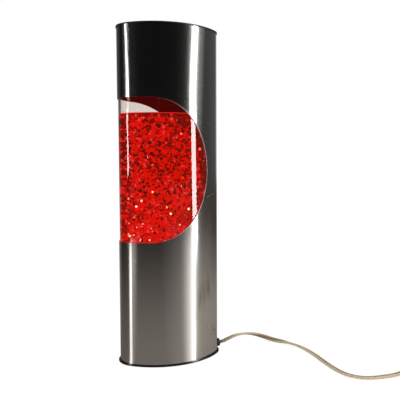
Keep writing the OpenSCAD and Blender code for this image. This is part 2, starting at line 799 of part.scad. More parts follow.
module at_switch() {
    translate([switch_x, switch_y, 0]) children();
}

module on_switch_screws() {
    for (s = [-1, 1]) translate([s * switch_screw_x, switch_screw_y, 0]) children();
}

module switch_base() {
    color("saddlebrown") at_switch() difference() {
        union() {
            difference() {
                rounded_plate(switch_l, switch_w, switch_corner_r, switch_half_h);
                translate([0, 0, switch_wall]) rounded_plate(switch_in_l, switch_in_w, switch_in_r, far);
            }
            on_switch_screws() cylinder(r = boss_r - 1, h = switch_half_h);
        }
        on_switch_screws() translate([0, 0, -1]) cylinder(r = screw_r + seat, h = far);
        on_switch_screws() translate([0, 0, -1]) cylinder(r = screw_head_r + seat, h = screw_head_h + 1);
    }
}

module switch_cover() {
    ear_y = rocker_w / 2 + slip;
    color("saddlebrown") at_switch() difference() {
        union() {
            translate([0, 0, switch_half_h]) difference() {
                rounded_plate(switch_l, switch_w, switch_corner_r, switch_half_h);
                translate([0, 0, -1])
                    rounded_plate(switch_in_l, switch_in_w, switch_in_r, switch_half_h - switch_wall + 1);
            }
            on_switch_screws() translate([0, 0, switch_half_h])
                cylinder(r = boss_r - 1, h = switch_half_h - switch_wall / 2);
            for (s = [-1, 1]) translate([-ear_l / 2, s * (ear_y + ear_t / 2) - ear_t / 2, pivot_z - 2.2])
                cube([ear_l, ear_t, switch_top - switch_wall / 2 - pivot_z + 2.2]);
        }
        translate([-rocker_l / 2 - 1, -ear_y, pivot_z - 0.5]) cube([rocker_l + 2, 2 * ear_y, far]);
        translate([0, 0, pivot_z]) rotate([90, 0, 0])
            cylinder(r = pivot_r + slip, h = 2 * (ear_y + ear_t) + 1, center = true);
        on_switch_screws() translate([0, 0, switch_half_h - 1]) cylinder(r = screw_r + seat, h = 5);
    }
}

module switch_screws() {
    color("gainsboro") at_switch() on_switch_screws() translate([0, 0, screw_head_h]) rotate([180, 0, 0])
        screw(switch_half_h - screw_head_h + 3.5);
}

// How far below its pivot the underside of the tilted bridge lies, at x from the pivot
function bridge_dip(x) = (bridge_t - rocker_foot_z) / cos(rocker_tilt) + x * tan(rocker_tilt);

// A terminal: a block for the wire's end and an arm to a post that stops just under the bridge
module terminal(block_x, at_x) {
    translate([block_x - terminal_block / 2, -terminal_block / 2, 0])
        cube([terminal_block, terminal_block, terminal_h + 1]);
    translate([min(block_x, at_x), -bridge_w / 2, 0]) cube([abs(block_x - at_x), bridge_w, terminal_h]);
    translate([at_x - post_t / 2, -bridge_w / 2, 0])
        cube([post_t, bridge_w, pivot_z - switch_wall - bridge_dip(abs(at_x) + post_t / 2) - seat]);
}

// One post stands under the pivot and the other under the end of the bridge that comes down to it
module switch_terminals() {
    color("gold") at_switch() translate([0, 0, switch_wall]) {
        terminal(-terminal_x, 0);
        terminal(terminal_x, post_x);
    }
}

module switch_wire() {
    length = switch_in_l - 2 * switch_in_r;
    color("tan") at_switch()
        translate([-length / 2, -switch_in_w / 2 + wire_r + seat, switch_wall + wire_r])
            rotate([0, 90, 0]) cylinder(r = wire_r, h = length);
}

module on_pivot() {
    at_switch() translate([0, 0, pivot_z]) rotate([0, -rocker_tilt, 0]) children();
}

module switch_rocker() {
    rise = switch_top - pivot_z + rocker_rise;
    pin_l = rocker_w + 2 * slip + 2 * ear_t - 0.4;
    color("ivory") on_pivot() {
        rotate([90, 0, 0]) linear_extrude(rocker_w, center = true)
            polygon([[-rocker_foot, rocker_foot_z], [rocker_foot, rocker_foot_z], [rocker_l / 2, 1.2],
                [rocker_l / 2, rise], [0, rise - rocker_dip], [-rocker_l / 2, rise], [-rocker_l / 2, 1.2]]);
        rotate([90, 0, 0]) cylinder(r = pivot_r, h = pin_l, center = true);
    }
}

module switch_bridge() {
    color("gold") on_pivot() translate([-bridge_l / 2, -bridge_w / 2, rocker_foot_z - bridge_t])
        cube([bridge_l, bridge_w, bridge_t]);
}

module at_plug() {
    translate([plug_x, plug_y, 0]) children();
}

// The grip seen from above: a tapered tail towards the lead and a square front
module plug_outline() {
    tail = plug_w / 4;
    half = plug_w / 2;
    polygon([[-tail, boot_l], [tail, boot_l], [half, boot_l + plug_l / 2], [half, boot_l + plug_l],
        [-half, boot_l + plug_l], [-half, boot_l + plug_l / 2]]);
}

module plug_body() {
    boot_r = cord_w / 2 + 1.2;
    color("saddlebrown") at_plug() difference() {
        union() {
            linear_extrude(plug_h) plug_outline();
            translate([0, boot_l, plug_z]) rotate([90, 0, 0])
                cylinder(r1 = min(plug_h, plug_w / 2) / 2 - 0.3, r2 = boot_r, h = boot_l);
        }
        blades(seat);
    }
}

module blades(gap) {
    for (s = [-1, 1])
        translate([s * blade_gap / 2 - blade_t / 2 - gap, boot_l + plug_l - blade_in - gap,
            plug_z - blade_w / 2 - gap])
            cube([blade_t + 2 * gap, blade_in + blade_l + gap, blade_w + 2 * gap]);
}

module plug_blades() {
    color("gold") at_plug() blades(0);
}

sleeve();
base_tray();
foot_pads();
sleeve_screws();
top_cap();
tank_body();
tank_lid();
filler_seal();
filler_plug();
glitter_fluid();
glitter_flakes();
tank_shelf();
shelf_legs();
shelf_seat();
holder_bracket();
bracket_screws();
holder_nipple();
nipple_nut();
holder_body();
holder_terminals();
holder_disc();
holder_thread();
holder_tongue();
bulb_tip();
bulb_insulator();
bulb_cap();
bulb_glass();
bulb_stem();
bulb_filament();
cord_bush();
inner_lead();
inner_wires();
grip_bar();
grip_screws();
cord_lead();
cord_coil();
coil_tie();
switch_base();
switch_cover();
switch_screws();
switch_terminals();
switch_wire();
switch_rocker();
switch_bridge();
plug_body();
plug_blades();
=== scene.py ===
"""Dresses the glitter lamp: finishes for its solids, glitter for its tank, its lead, and a studio."""

import logging
import math
from dataclasses import dataclass
from enum import Enum
from typing import Optional, Sequence, Union

import bmesh
import bpy
from mathutils import Matrix, Vector


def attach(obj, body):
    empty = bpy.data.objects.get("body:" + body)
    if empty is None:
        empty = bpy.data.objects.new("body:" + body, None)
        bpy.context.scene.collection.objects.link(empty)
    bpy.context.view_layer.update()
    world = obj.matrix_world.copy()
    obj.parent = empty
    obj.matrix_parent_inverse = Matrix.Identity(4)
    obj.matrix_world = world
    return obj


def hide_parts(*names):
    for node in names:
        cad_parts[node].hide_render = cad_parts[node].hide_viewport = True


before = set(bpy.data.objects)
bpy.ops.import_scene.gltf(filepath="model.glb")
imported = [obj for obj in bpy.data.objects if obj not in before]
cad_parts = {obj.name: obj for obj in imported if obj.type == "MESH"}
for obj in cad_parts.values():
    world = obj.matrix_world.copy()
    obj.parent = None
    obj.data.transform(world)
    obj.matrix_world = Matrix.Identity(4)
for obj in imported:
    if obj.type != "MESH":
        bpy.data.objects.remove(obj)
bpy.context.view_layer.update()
LOG = logging.getLogger("glitter_lamp")
Colour = tuple[float, float, float]
Point = tuple[float, float, float]
Row = tuple[float, float, float, float]
Outline = Sequence[tuple[float, float]]
MM = 0.001
ROUND_SHARP_DEG = 60.0


# Arithmetic on node sockets


class Term:
    """A node socket that takes part in arithmetic, in a material as in a geometry tree."""

    def __init__(self, tree: bpy.types.NodeTree, socket: bpy.types.NodeSocket) -> None:
        """Keeps the socket and the tree that it belongs to."""
        self.tree = tree
        self.socket = socket

    def _math(self, operation: str, *values: "Value", clamp: bool = False) -> "Term":
        """Adds one maths node.

        Args:
            operation: the node's operation.
            values: terms or numbers, in the order of its inputs.
            clamp: keeps the result between 0 and 1.

        Returns:
            The node's result.
        """
        node = self.tree.nodes.new("ShaderNodeMath")
        node.operation = operation
        node.use_clamp = clamp
        for slot, value in zip(node.inputs, values):
            if isinstance(value, Term):
                self.tree.links.new(value.socket, slot)
            else:
                slot.default_value = float(value)
        return Term(self.tree, node.outputs[0])

    def __add__(self, other: "Value") -> "Term":
        """Sum."""
        return self._math("ADD", self, other)

    __radd__ = __add__

    def __sub__(self, other: "Value") -> "Term":
        """Difference."""
        return self._math("SUBTRACT", self, other)

    def __rsub__(self, other: "Value") -> "Term":
        """Difference from a number."""
        return self._math("SUBTRACT", other, self)

    def __mul__(self, other: "Value") -> "Term":
        """Product."""
        return self._math("MULTIPLY", self, other)

    __rmul__ = __mul__

    def __truediv__(self, other: "Value") -> "Term":
        """Quotient."""
        return self._math("DIVIDE", self, other)

    def __rtruediv__(self, other: "Value") -> "Term":
        """Quotient of a number."""
        return self._math("DIVIDE", other, self)

    def __pow__(self, other: "Value") -> "Term":
        """Power."""
        return self._math("POWER", self, other)

    def __rpow__(self, other: "Value") -> "Term":
        """Power of a number."""
        return self._math("POWER", other, self)

    def __neg__(self) -> "Term":
        """Opposite."""
        return self._math("MULTIPLY", self, -1.0)

    def __abs__(self) -> "Term":
        """Size without sign."""
        return self._math("ABSOLUTE", self)

    def sine(self) -> "Term":
        """Sine of an angle in radians."""
        return self._math("SINE", self)

    def below(self, limit: "Value") -> "Term":
        """1 where the term is under the limit, else 0."""
        return self._math("LESS_THAN", self, limit)

    def above(self, limit: "Value") -> "Term":
        """1 where the term is over the limit, else 0."""
        return self._math("GREATER_THAN", self, limit)

    def larger(self, other: "Value") -> "Term":
        """The larger of two."""
        return self._math("MAXIMUM", self, other)

    def smaller(self, other: "Value") -> "Term":
        """The smaller of two."""
        return self._math("MINIMUM", self, other)

    def ramp(self, low: float, high: float) -> "Term":
        """Runs from 0 at low to 1 at high, and stays there."""
        return self._math("MULTIPLY", self - low, 1.0 / (high - low), clamp=True)


Value = Union[Term, float, int]


class Nodes:
    """A node tree that is written as calls: every node is made by one method."""

    def __init__(self, tree: bpy.types.NodeTree) -> None:
        """Starts on an empty tree."""
        self.tree = tree
        tree.nodes.clear()

    def node(self, kind: str, inputs: Optional[dict] = None, **settings: object) -> bpy.types.Node:
        """Adds a node.

        Args:
            kind: the node's type name.
            inputs: by name or number, a value, a term or another node's socket.
            settings: the node's own properties.

        Returns:
            The node.
        """
        made = self.tree.nodes.new(kind)
        for name, value in settings.items():
            setattr(made, name, value)
        for key, value in (inputs or {}).items():
            slot = made.inputs[key]
            if isinstance(value, Term):
                self.tree.links.new(value.socket, slot)
            elif isinstance(value, bpy.types.NodeSocket):
                self.tree.links.new(value, slot)
            elif isinstance(value, tuple) and slot.type == "RGBA":
                slot.default_value = (*value, 1.0)[:4]
            else:
                slot.default_value = value
        return made

    def term(
        self, kind: str, output: Union[str, int] = 0, inputs: Optional[dict] = None, **settings: object
    ) -> Term:
        """Adds a node and takes one of its outputs as a term."""
        return Term(self.tree, self.node(kind, inputs, **settings).outputs[output])

    def parts(self, vector: bpy.types.NodeSocket) -> tuple[Term, Term, Term]:
        """Splits a vector into its three numbers."""
        split = self.node("ShaderNodeSeparateXYZ", {0: vector})
        return tuple(Term(self.tree, s) for s in split.outputs)


class Paint(Nodes):
    """A material in the making."""

    def __init__(self, name: str) -> None:
        """Starts a material.

        Args:
            name: the material's name.
        """
        self.material = bpy.data.materials.new(name)
        self.material.use_nodes = True
        super().__init__(self.material.node_tree)
        self.sheet = self.node("ShaderNodeOutputMaterial")

    def place(self) -> bpy.types.NodeSocket:
        """The point on the piece, in the lamp's own frame."""
        return self.node("ShaderNodeTexCoord").outputs["Object"]

    def noise(self, scale: float, detail: float = 2.0, stretch: Point = (1, 1, 1)) -> Term:
        """Noise on the piece.

        Args:
            scale: bumps in a metre.
            detail: octaves.
            stretch: how much finer it is along each axis.

        Returns:
            A term from about 0 to 1.
        """
        mapped = self.node("ShaderNodeMapping", {"Vector": self.place(), "Scale": stretch})
        values = {"Vector": mapped.outputs[0], "Scale": scale, "Detail": detail}
        return self.term("ShaderNodeTexNoise", "Fac", values)

    def specks(self, scale: float, share: float, size: float) -> Term:
        """Sparse dots, 1 inside a dot.

        Args:
            scale: cells in a metre.
            share: part of the cells that hold a dot.
            size: a dot's radius as part of a cell.

        Returns:
            A term from 0 to 1.
        """
        cells = self.node("ShaderNodeTexVoronoi", {"Vector": self.place(), "Scale": scale})
        picked, _, _ = self.parts(cells.outputs["Color"])
        distance = Term(self.tree, cells.outputs["Distance"])
        return picked.below(share) * (1.0 - distance.ramp(size * 0.6, size))

    def blend(self, factor: Term, low: "Tone", high: "Tone") -> bpy.types.NodeSocket:
        """A colour between two colours; a Mix node's sockets 6 and 7 take them."""
        values = {"Factor": factor, 6: low, 7: high}
        return self.node("ShaderNodeMix", values, data_type="RGBA", clamp_factor=True).outputs[2]

    def bump(self, height: Term, depth: float) -> bpy.types.NodeSocket:
        """A surface normal from a height of that depth in metres."""
        values = {"Height": height, "Distance": depth, "Strength": 1.0}
        return self.node("ShaderNodeBump", values).outputs[0]

    def surface(self, **sockets: object) -> bpy.types.Node:
        """A principled surface; a key's underscores stand for spaces in the socket's name."""
        return self.node("ShaderNodeBsdfPrincipled", {k.replace("_", " "): v for k, v in sockets.items()})

    def finish(self, shader: bpy.types.Node, volume: Optional[bpy.types.Node] = None) -> bpy.types.Material:
        """Closes the material.

        Args:
            shader: its surface.
            volume: its inside, or none.

        Returns:
            The material.
        """
        self.tree.links.new(shader.outputs[0], self.sheet.inputs["Surface"])
        if volume:
            self.tree.links.new(volume.outputs[0], self.sheet.inputs["Volume"])
        return self.material


Tone = Union[Colour, bpy.types.NodeSocket]


# Sizes that the pieces share, as the solids have them


@dataclass(frozen=True)
class Oval:
    """The sleeve's outline: two end arcs and two side arcs.

    Args:
        end_x: how far out an end arc's middle is.
        end_r: an end arc's radius.
        half_depth: how far the side arcs reach to the front and back.
    """

    end_x: float = 34.25 * MM
    end_r: float = 22.0 * MM
    half_depth: float = 35.0 * MM

    @property
    def side_off(self) -> float:
        """How far a side arc's centre lies past the middle."""
        flank = self.half_depth - self.end_r
        return (self.end_x**2 - flank**2) / (2 * flank)

    @property
    def side_r(self) -> float:
        """Radius of a side arc."""
        return self.side_off + self.half_depth

    @property
    def seam_x(self) -> float:
        """How far out the arcs of the plain outline meet."""
        return self.side_r * self.end_x / (self.side_r - self.end_r)

    def outward(self, x: float, y: float) -> Vector:
        """The outline's outward direction nearest to a point.

        Args:
            x: the point's place along the oval.
            y: the point's place across it.

        Returns:
            A level direction of length 1.
        """
        seam = math.atan2(self.side_off, self.end_x)
        if abs(x) > self.end_x and math.atan2(abs(y), abs(x) - self.end_x) < seam:
            way = Vector((abs(x) - self.end_x, abs(y), 0))
        else:
            way = Vector((abs(x), abs(y) + self.side_off, 0))
        way.normalize()
        return Vector((math.copysign(way.x, x), math.copysign(way.y, y), 0))

    def loop(self, off: float, steps: int = 24) -> list[tuple[float, float]]:
        """Points round the outline.

        Args:
            off: how far the outline is grown.
            steps: points on each of its four arcs.

        Returns:
            Points in order, seen from above against the clock.
        """
        seam = math.atan2(self.side_off, self.end_x)
        arcs = [
            (self.end_x, 0.0, self.end_r, -seam, seam),
            (0.0, -self.side_off, self.side_r, seam, math.pi - seam),
            (-self.end_x, 0.0, self.end_r, math.pi - seam, math.pi + seam),
            (0.0, self.side_off, self.side_r, math.pi + seam, 2 * math.pi - seam),
        ]
        points = []
        for cx, cy, r, first, last in arcs:
            for k in range(steps):
                a = first + (last - first) * k / steps
                points.append((cx + (r + off) * math.cos(a), cy + (r + off) * math.sin(a)))
        return points


@dataclass(frozen=True)
class Window:
    """The window's outline: a nose arc and two corner arcs, cut straight from front to back.

    Args:
        middle: height of its middle.
        nose_x: the nose arc's middle.
        nose_r: the nose arc's radius.
        corner_x: the corner arcs' middle.
        corner_z: how far the corner arcs' middles are above and below the window's.
        corner_r: the corner arcs' radius.
    """

    middle: float = 208.0 * MM
    nose_x: float = -50.0 * MM
    nose_r: float = 85.0 * MM
    corner_x: float = -32.766 * MM
    corner_z: float = 12.0 * MM
    corner_r: float = 64.0 * MM


OVAL = Oval()
WINDOW = Window()


class Body(Enum):
    """The bodies that move on their own."""

    HOUSING = "housing"
    TANK = "tank"
    CAP = "cap"
    BULB_FOOT = "bulb_foot"
    BULB = "bulb"
    ROCKER = "rocker"


class Draw(Enum):
    """Seeds of the random numbers that each flake draws for its look."""

    TURN = 3
    SIZE = 4
    PICK = 5
    DICE = 6


# Finishes


@dataclass(frozen=True)
class Finish:
    """A finish: what it is called and how it is painted."""

    name: str

    def paint(self) -> bpy.types.Material:
        """The finish as a material."""
        raise NotImplementedError


@dataclass(frozen=True)
class BrushedSteel(Finish):
    """Sheet steel brushed round the sleeve, with dust, a seam at the back and a few scratches.

    Args:
        colour: the bright colour.
        shade: the dull colour.
        joint: colour of the seam.
        rough: the middle roughness.
        scratches: x and z of both ends of each scratch.
    """

    colour: Colour = (0.615, 0.585, 0.565)
    shade: Colour = (0.505, 0.508, 0.482)
    joint: Colour = (0.2, 0.19, 0.18)
    rough: float = 0.17
    scratches: tuple[Row, ...] = (
        (0.0343, 0.1782, 0.0466, 0.1825),
        (-0.0457, 0.1143, -0.0436, 0.1127),
        (-0.0452, 0.1106, -0.0440, 0.1112),
    )

    def scratch(self, p: Paint, ends: Row) -> Term:
        """A fine straight scratch on the front.

        Args:
            p: the material in the making.
            ends: x and z of its two ends.

        Returns:
            Its strength, 0 off the scratch.
        """
        x, y, z = p.parts(p.place())
        x0, z0, x1, z1 = ends
        length = math.hypot(x1 - x0, z1 - z0)
        ux, uz = (x1 - x0) / length, (z1 - z0) / length
        along = (x - x0) * ux + (z - z0) * uz
        across = abs((x - x0) * -uz + (z - z0) * ux)
        inside = along.above(0.0) * along.below(length) * y.below(0.0)
        return inside * (1.0 - across.ramp(0.08 * MM, 0.3 * MM)) * 0.45

    def rim(self, p: Paint) -> Term:
        """The deburred edge round the window's nose.

        Args:
            p: the material in the making.

        Returns:
            1 on the edge, else 0.
        """
        x, _, z = p.parts(p.place())
        up = abs(z - WINDOW.middle)
        inside_nose = (up * (WINDOW.corner_x - WINDOW.nose_x)).below((x - WINDOW.nose_x) * WINDOW.corner_z)
        nose = ((x - WINDOW.nose_x) ** 2.0 + up**2.0) ** 0.5 - WINDOW.nose_r
        past = (x - WINDOW.corner_x).larger(0.0)
        corner = (past**2.0 + (up - WINDOW.corner_z) ** 2.0) ** 0.5 - WINDOW.corner_r
        off = inside_nose * nose + (1.0 - inside_nose) * corner
        return (1.0 - off.ramp(0.4 * MM, 0.7 * MM)) * x.ramp(-20 * MM, 20 * MM)

    def paint(self) -> bpy.types.Material:
        """The finish as a material.

        Returns:
            The material.
        """
        p = Paint(self.name)
        grain = p.noise(40.0, 3.0, (1, 1, 130))
        cloud = p.noise(14.0, 2.0, (1, 1, 0.6))
        x, y, _ = p.parts(p.place())
        marks = p.specks(300.0, 0.2, 0.13) * x.ramp(-20 * MM, 30 * MM) * 0.5
        for ends in self.scratches:
            marks = marks.larger(self.scratch(p, ends))
        marks = marks.larger(self.rim(p))
        seam = y.above(0.0) * (1.0 - abs(x).ramp(0.2 * MM, 0.5 * MM))
        tone = p.blend((grain - 0.5) * 0.6 + 0.5 + (cloud - 0.5) * 0.7, self.shade, self.colour)
        shader = p.surface(
            Base_Color=p.blend(seam * 0.6, tone, self.joint),
            Metallic=1.0 - marks * 0.6,
            Roughness=(grain - 0.5) * 0.05 + (cloud - 0.5) * 0.04 + self.rough + marks * 0.4,
            Anisotropic=0.5,
            Anisotropic_Rotation=0.25,
            Coat_Weight=0.3,
            Coat_Roughness=0.32,
            Coat_IOR=1.6,
        )
        return p.finish(shader)


@dataclass(frozen=True)
class SleeveLining(Finish):
    """The sleeve's inner face, dark and tinged red by a painted glow that stands for the tank's light, with
    the seam's line.

    Args:
        colour: the base colour.
        line: colour of the seam.
        light: the painted light on it far from the bulb.
        near_bulb: the painted light on it near the bulb.
        bulb_z: height up to which the painted light of the bulb is full.
        dark_z: height from which the painted light of the bulb is gone.
    """

    colour: Colour = (0.04, 0.002, 0.002)
    line: Colour = (0.07, 0.006, 0.006)
    light: Colour = (0.072, 0.0025, 0.0025)
    near_bulb: Colour = (0.80, 0.04, 0.025)
    bulb_z: float = 135.0 * MM
    dark_z: float = 185.0 * MM

    def paint(self) -> bpy.types.Material:
        """The finish as a material.

        Returns:
            The material.
        """
        p = Paint(self.name)
        x, y, z = p.parts(p.place())
        seam = y.above(0.0) * (1.0 - abs(x).ramp(0.3 * MM, 0.7 * MM))
        rough = p.noise(60.0, 2.0, (1, 1, 30)) * 0.16 + 0.42
        # Painted light: the glow is full up to bulb_z, gone at dark_z, and a little stronger along the seam.
        lit = (1.0 - z.ramp(self.bulb_z, self.dark_z)) ** 1.5 + seam * 0.1
        shader = p.surface(
            Base_Color=p.blend(seam, self.colour, self.line), Roughness=rough, Specular_IOR_Level=0.0,
            Emission_Color=p.blend(lit, self.light, self.near_bulb), Emission_Strength=1.0,
        )
        return p.finish(shader)


@dataclass(frozen=True)
class Plain(Finish):
    """A plastic, rubber, ceramic or metal in one colour, with faint mottling in its gloss.

    Args:
        colour: the base colour.
        rough: the middle roughness.
        metal: 1 for metal.
        mottle: how far the roughness wanders.
        grain: bumps in a metre.
        relief: depth of the bumps.
    """

    colour: Colour = (0.5, 0.5, 0.5)
    rough: float = 0.4
    metal: float = 0.0
    mottle: float = 0.1
    grain: float = 180.0
    relief: float = 0.015 * MM

    def paint(self) -> bpy.types.Material:
        """The finish as a material.

        Returns:
            The material.
        """
        p = Paint(self.name)
        cloud = p.noise(self.grain, 3.0)
        dark = tuple(c * 0.86 for c in self.colour)
        shader = p.surface(
            Base_Color=p.blend(cloud, dark, self.colour),
            Metallic=self.metal,
            Roughness=(cloud - 0.5) * (2 * self.mottle) + self.rough,
            Normal=p.bump(cloud, self.relief),
        )
        return p.finish(shader)


@dataclass(frozen=True)
class Clear(Finish):
    """A clear solid that bends light and lets lamps through.

    Args:
        ior: how strongly it bends light.
        tint: the colour that lamps take on through it.
        body: the colour that the view through it takes on.
        soak: what the solid's inside leaves of each colour, or none.
        density: how quickly it does so, in a metre.
        light: colour of the painted light that hangs in the solid.
        glow: that painted light's brightness in a metre.
        gloss: weight of a hard clear skin.
    """

    ior: float = 1.49
    tint: Colour = (0.96, 0.96, 0.95)
    body: Colour = (1.0, 1.0, 1.0)
    soak: Optional[Colour] = None
    density: float = 0.0
    light: Colour = (0.0, 0.0, 0.0)
    glow: float = 0.0
    gloss: float = 0.0

    def inside(self, p: Paint) -> Optional[bpy.types.Node]:
        """What the light meets inside the solid.

        Args:
            p: the material in the making.

        Returns:
            A volume shader, or none.
        """
        if not self.soak:
            return None
        soak = p.node("ShaderNodeVolumeAbsorption", {"Color": self.soak, "Density": self.density})
        if not self.glow:
            return soak
        lit = p.node("ShaderNodeEmission", {"Color": self.light, "Strength": self.glow})
        return p.node("ShaderNodeAddShader", {0: soak.outputs[0], 1: lit.outputs[0]})

    def paint(self) -> bpy.types.Material:
        """The finish as a material.

        Returns:
            The material.
        """
        p = Paint(self.name)
        solid = p.surface(
            Base_Color=self.body, Transmission_Weight=1.0, IOR=self.ior, Roughness=0.0,
            Coat_Weight=self.gloss, Coat_IOR=1.65, Coat_Roughness=0.02,
        )
        through = p.node("ShaderNodeBsdfTransparent", {"Color": self.tint})
        shadow = p.term("ShaderNodeLightPath", "Is Shadow Ray")
        both = p.node("ShaderNodeMixShader", {0: shadow, 1: solid.outputs[0], 2: through.outputs[0]})
        return p.finish(both, self.inside(p))


@dataclass(frozen=True)
class Brim(Finish):
    """The fluid's upper edge against the tank's wall, with a painted bright line where its light gathers.

    Args:
        colour: the base colour.
        light: its painted light at the left.
        far_share: share of that painted light at the right.
    """

    colour: Colour = (0.5, 0.006, 0.004)
    light: Colour = (0.36, 0.006, 0.003)
    far_share: float = 0.4

    def paint(self) -> bpy.types.Material:
        """The finish as a material.

        Returns:
            The material.
        """
        p = Paint(self.name)
        x, _, _ = p.parts(p.place())
        far = tuple(c * self.far_share for c in self.light)
        shader = p.surface(
            Base_Color=self.colour, Roughness=0.2,
            Emission_Color=p.blend(x.ramp(0.0, 35 * MM), self.light, far), Emission_Strength=1.0,
        )
        return p.finish(shader)


@dataclass(frozen=True)
class Foil(Finish):
    """Glitter foil: dull, silver and gold flakes, of which some show a painted glint of the bulb's light and
    a few a painted sparkle.

    Each flake carries two numbers: pick, a random one from 0 to 1, and glow, 1 for a sparkle.

    Args:
        silver: colour of a silver flake, with a painted red cast of the fluid's light.
        shade: colour of a dull flake, dark as painted shade.
        gold: colour of a gold flake.
        glint: painted glint of a flake that catches the bulb.
        dim: faint painted glow of any other flake.
        sparkle: painted light of a gold sparkle.
        flash: painted light of a white sparkle.
        silver_from: the pick from which flakes are silver.
        gold_from: the pick from which flakes are gold.
        flash_from: the pick from which sparkles are white.
    """

    silver: Colour = (0.78, 0.42, 0.42)
    shade: Colour = (0.09, 0.015, 0.015)
    gold: Colour = (1.0, 0.78, 0.30)
    glint: Colour = (0.42, 0.05, 0.06)
    dim: Colour = (0.03, 0.0005, 0.0005)
    sparkle: Colour = (1.0, 0.98, 0.45)
    flash: Colour = (1.0, 1.0, 1.0)
    silver_from: float = 0.72
    gold_from: float = 0.9
    flash_from: float = 0.7

    def lit(self, p: Paint) -> Term:
        """How many flakes show a painted glint: most low down and at the open end, fewest high up at the
        other.

        Args:
            p: the material in the making.

        Returns:
            Their share.
        """
        x, _, z = p.parts(p.place())
        low = 1.0 - z.ramp(130 * MM, 200 * MM)
        open_end = 1.0 - x.ramp(-50 * MM, -35 * MM)
        far_corner = x.ramp(20 * MM, 35 * MM) * z.ramp(150 * MM, 180 * MM)
        return 0.2 + low * 0.45 + open_end * 0.4 - far_corner * 0.12

    def paint(self) -> bpy.types.Material:
        """The finish as a material.

        Returns:
            The material.
        """
        p = Paint(self.name)
        pick = p.term("ShaderNodeAttribute", "Fac", attribute_name="pick")
        glow = p.term("ShaderNodeAttribute", "Fac", attribute_name="glow")
        plain = p.blend(pick.above(self.silver_from), self.shade, self.silver)
        # Painted light: the emission paints glints, a faint glow and sparkles on the flakes in place of the
        # bulb's light.
        soft = p.blend(pick.below(self.lit(p)), self.dim, self.glint)
        bright = p.blend(pick.above(self.flash_from), self.sparkle, self.flash)
        shader = p.surface(
            Base_Color=p.blend(pick.above(self.gold_from), plain, self.gold),
            Metallic=1.0,
            Roughness=pick * 0.1 + 0.14,
            Emission_Color=p.blend(glow, soft, bright),
            Emission_Strength=2.0,
        )
        return p.finish(shader)


@dataclass(frozen=True)
class LeadSkin(Finish):
    """The lead's amber skin, through which the twisted strands show as slanting stripes, with painted shade
    in its groove and near the bush.

    Args:
        light: the skin's colour out of the painted shade.
        dark: its colour in the painted shade of the groove and near the bush.
        twist: length of one turn of the strands.
        ridge: how far the strands stand out.
        shaded_span: distances from the start over which the painted shade near the bush fades from full to
            gone.
        groove: where the groove is, as a share of the way round.
    """

    light: Colour = (0.86, 0.68, 0.46)
    dark: Colour = (0.13, 0.078, 0.038)
    twist: float = 5.0 * MM
    ridge: float = 0.04 * MM
    shaded_span: tuple[float, float] = (2 * MM, 32 * MM)
    groove: float = 0.48

    def paint(self) -> bpy.types.Material:
        """The finish as a material.

        Returns:
            The material.
        """
        p = Paint(self.name)
        run = p.node("ShaderNodeUVMap", uv_map="run")
        along, around, _ = p.parts(run.outputs[0])
        wave = ((along / self.twist + around * 2.0) * (2 * math.pi)).sine() * 0.5 + 0.5
        patch = p.noise(60.0, 2.0)
        off = abs(around - self.groove)
        groove = off.smaller(0.5 - off).ramp(0.03, 0.12)
        near = 1.0 - along.ramp(*self.shaded_span)
        stripes = (wave**2.0) * (near * 0.2 + 0.15) + (patch - 0.5) * 0.4
        # Painted shade: the skin is darker in the groove between the cores and over the first stretch from
        # the bush.
        tone = (stripes + 0.84 - near * 0.78) * (groove * 0.75 + 0.25)
        shader = p.surface(
            Base_Color=p.blend(tone, self.dark, self.light),
            Roughness=patch * 0.12 + 0.26,
            Coat_Weight=0.15,
            IOR=1.5,
            Normal=p.bump(wave, self.ridge),
        )
        return p.finish(shader)


STEEL = BrushedSteel("brushed_steel")
LINING = SleeveLining("sleeve_lining")
CUT_EDGE = Plain("cut_edge", (0.80, 0.79, 0.77), 0.22, 1.0, 0.05)
BLACK = Plain("black_plastic", (0.012, 0.012, 0.013), 0.34, 0.0, 0.06)
RUBBER = Plain("rubber", (0.03, 0.03, 0.03), 0.75)
ZINC = Plain("zinc_steel", (0.62, 0.62, 0.60), 0.34, 1.0, 0.08)
BRASS = Plain("brass", (0.72, 0.53, 0.22), 0.28, 1.0, 0.08)
IVORY = Plain("ivory_plastic", (0.72, 0.67, 0.55), 0.35, 0.0, 0.05)
SOLDER = Plain("solder", (0.55, 0.55, 0.55), 0.4, 1.0, 0.08)
BLACK_GLASS = Plain("black_glass", (0.02, 0.02, 0.02), 0.12, 0.0, 0.03)
BROWN = Plain("brown_plastic", (0.115, 0.062, 0.026), 0.32, 0.0, 0.06)
ACRYLIC = Clear("clear_acrylic", 1.49, body=(0.90, 0.837, 0.798))
BULB_GLASS = Clear("bulb_glass", 1.45, (0.97, 0.97, 0.96))
# The fluid's glow is painted light that stands for the bulb's light inside it.
FLUID = Clear(
    "red_fluid", 1.38, (0.80, 0.10, 0.07), soak=(0.973, 0.09, 0.0), density=220.0,
    light=(1.0, 0.50, 0.23), glow=2.6, gloss=1.0,
)
BRIM = Brim("fluid_brim")
FOIL = Foil("foil")
SKIN = LeadSkin("tan_lead")
TAN = Plain("tan_wire", (0.50, 0.39, 0.25), 0.3)


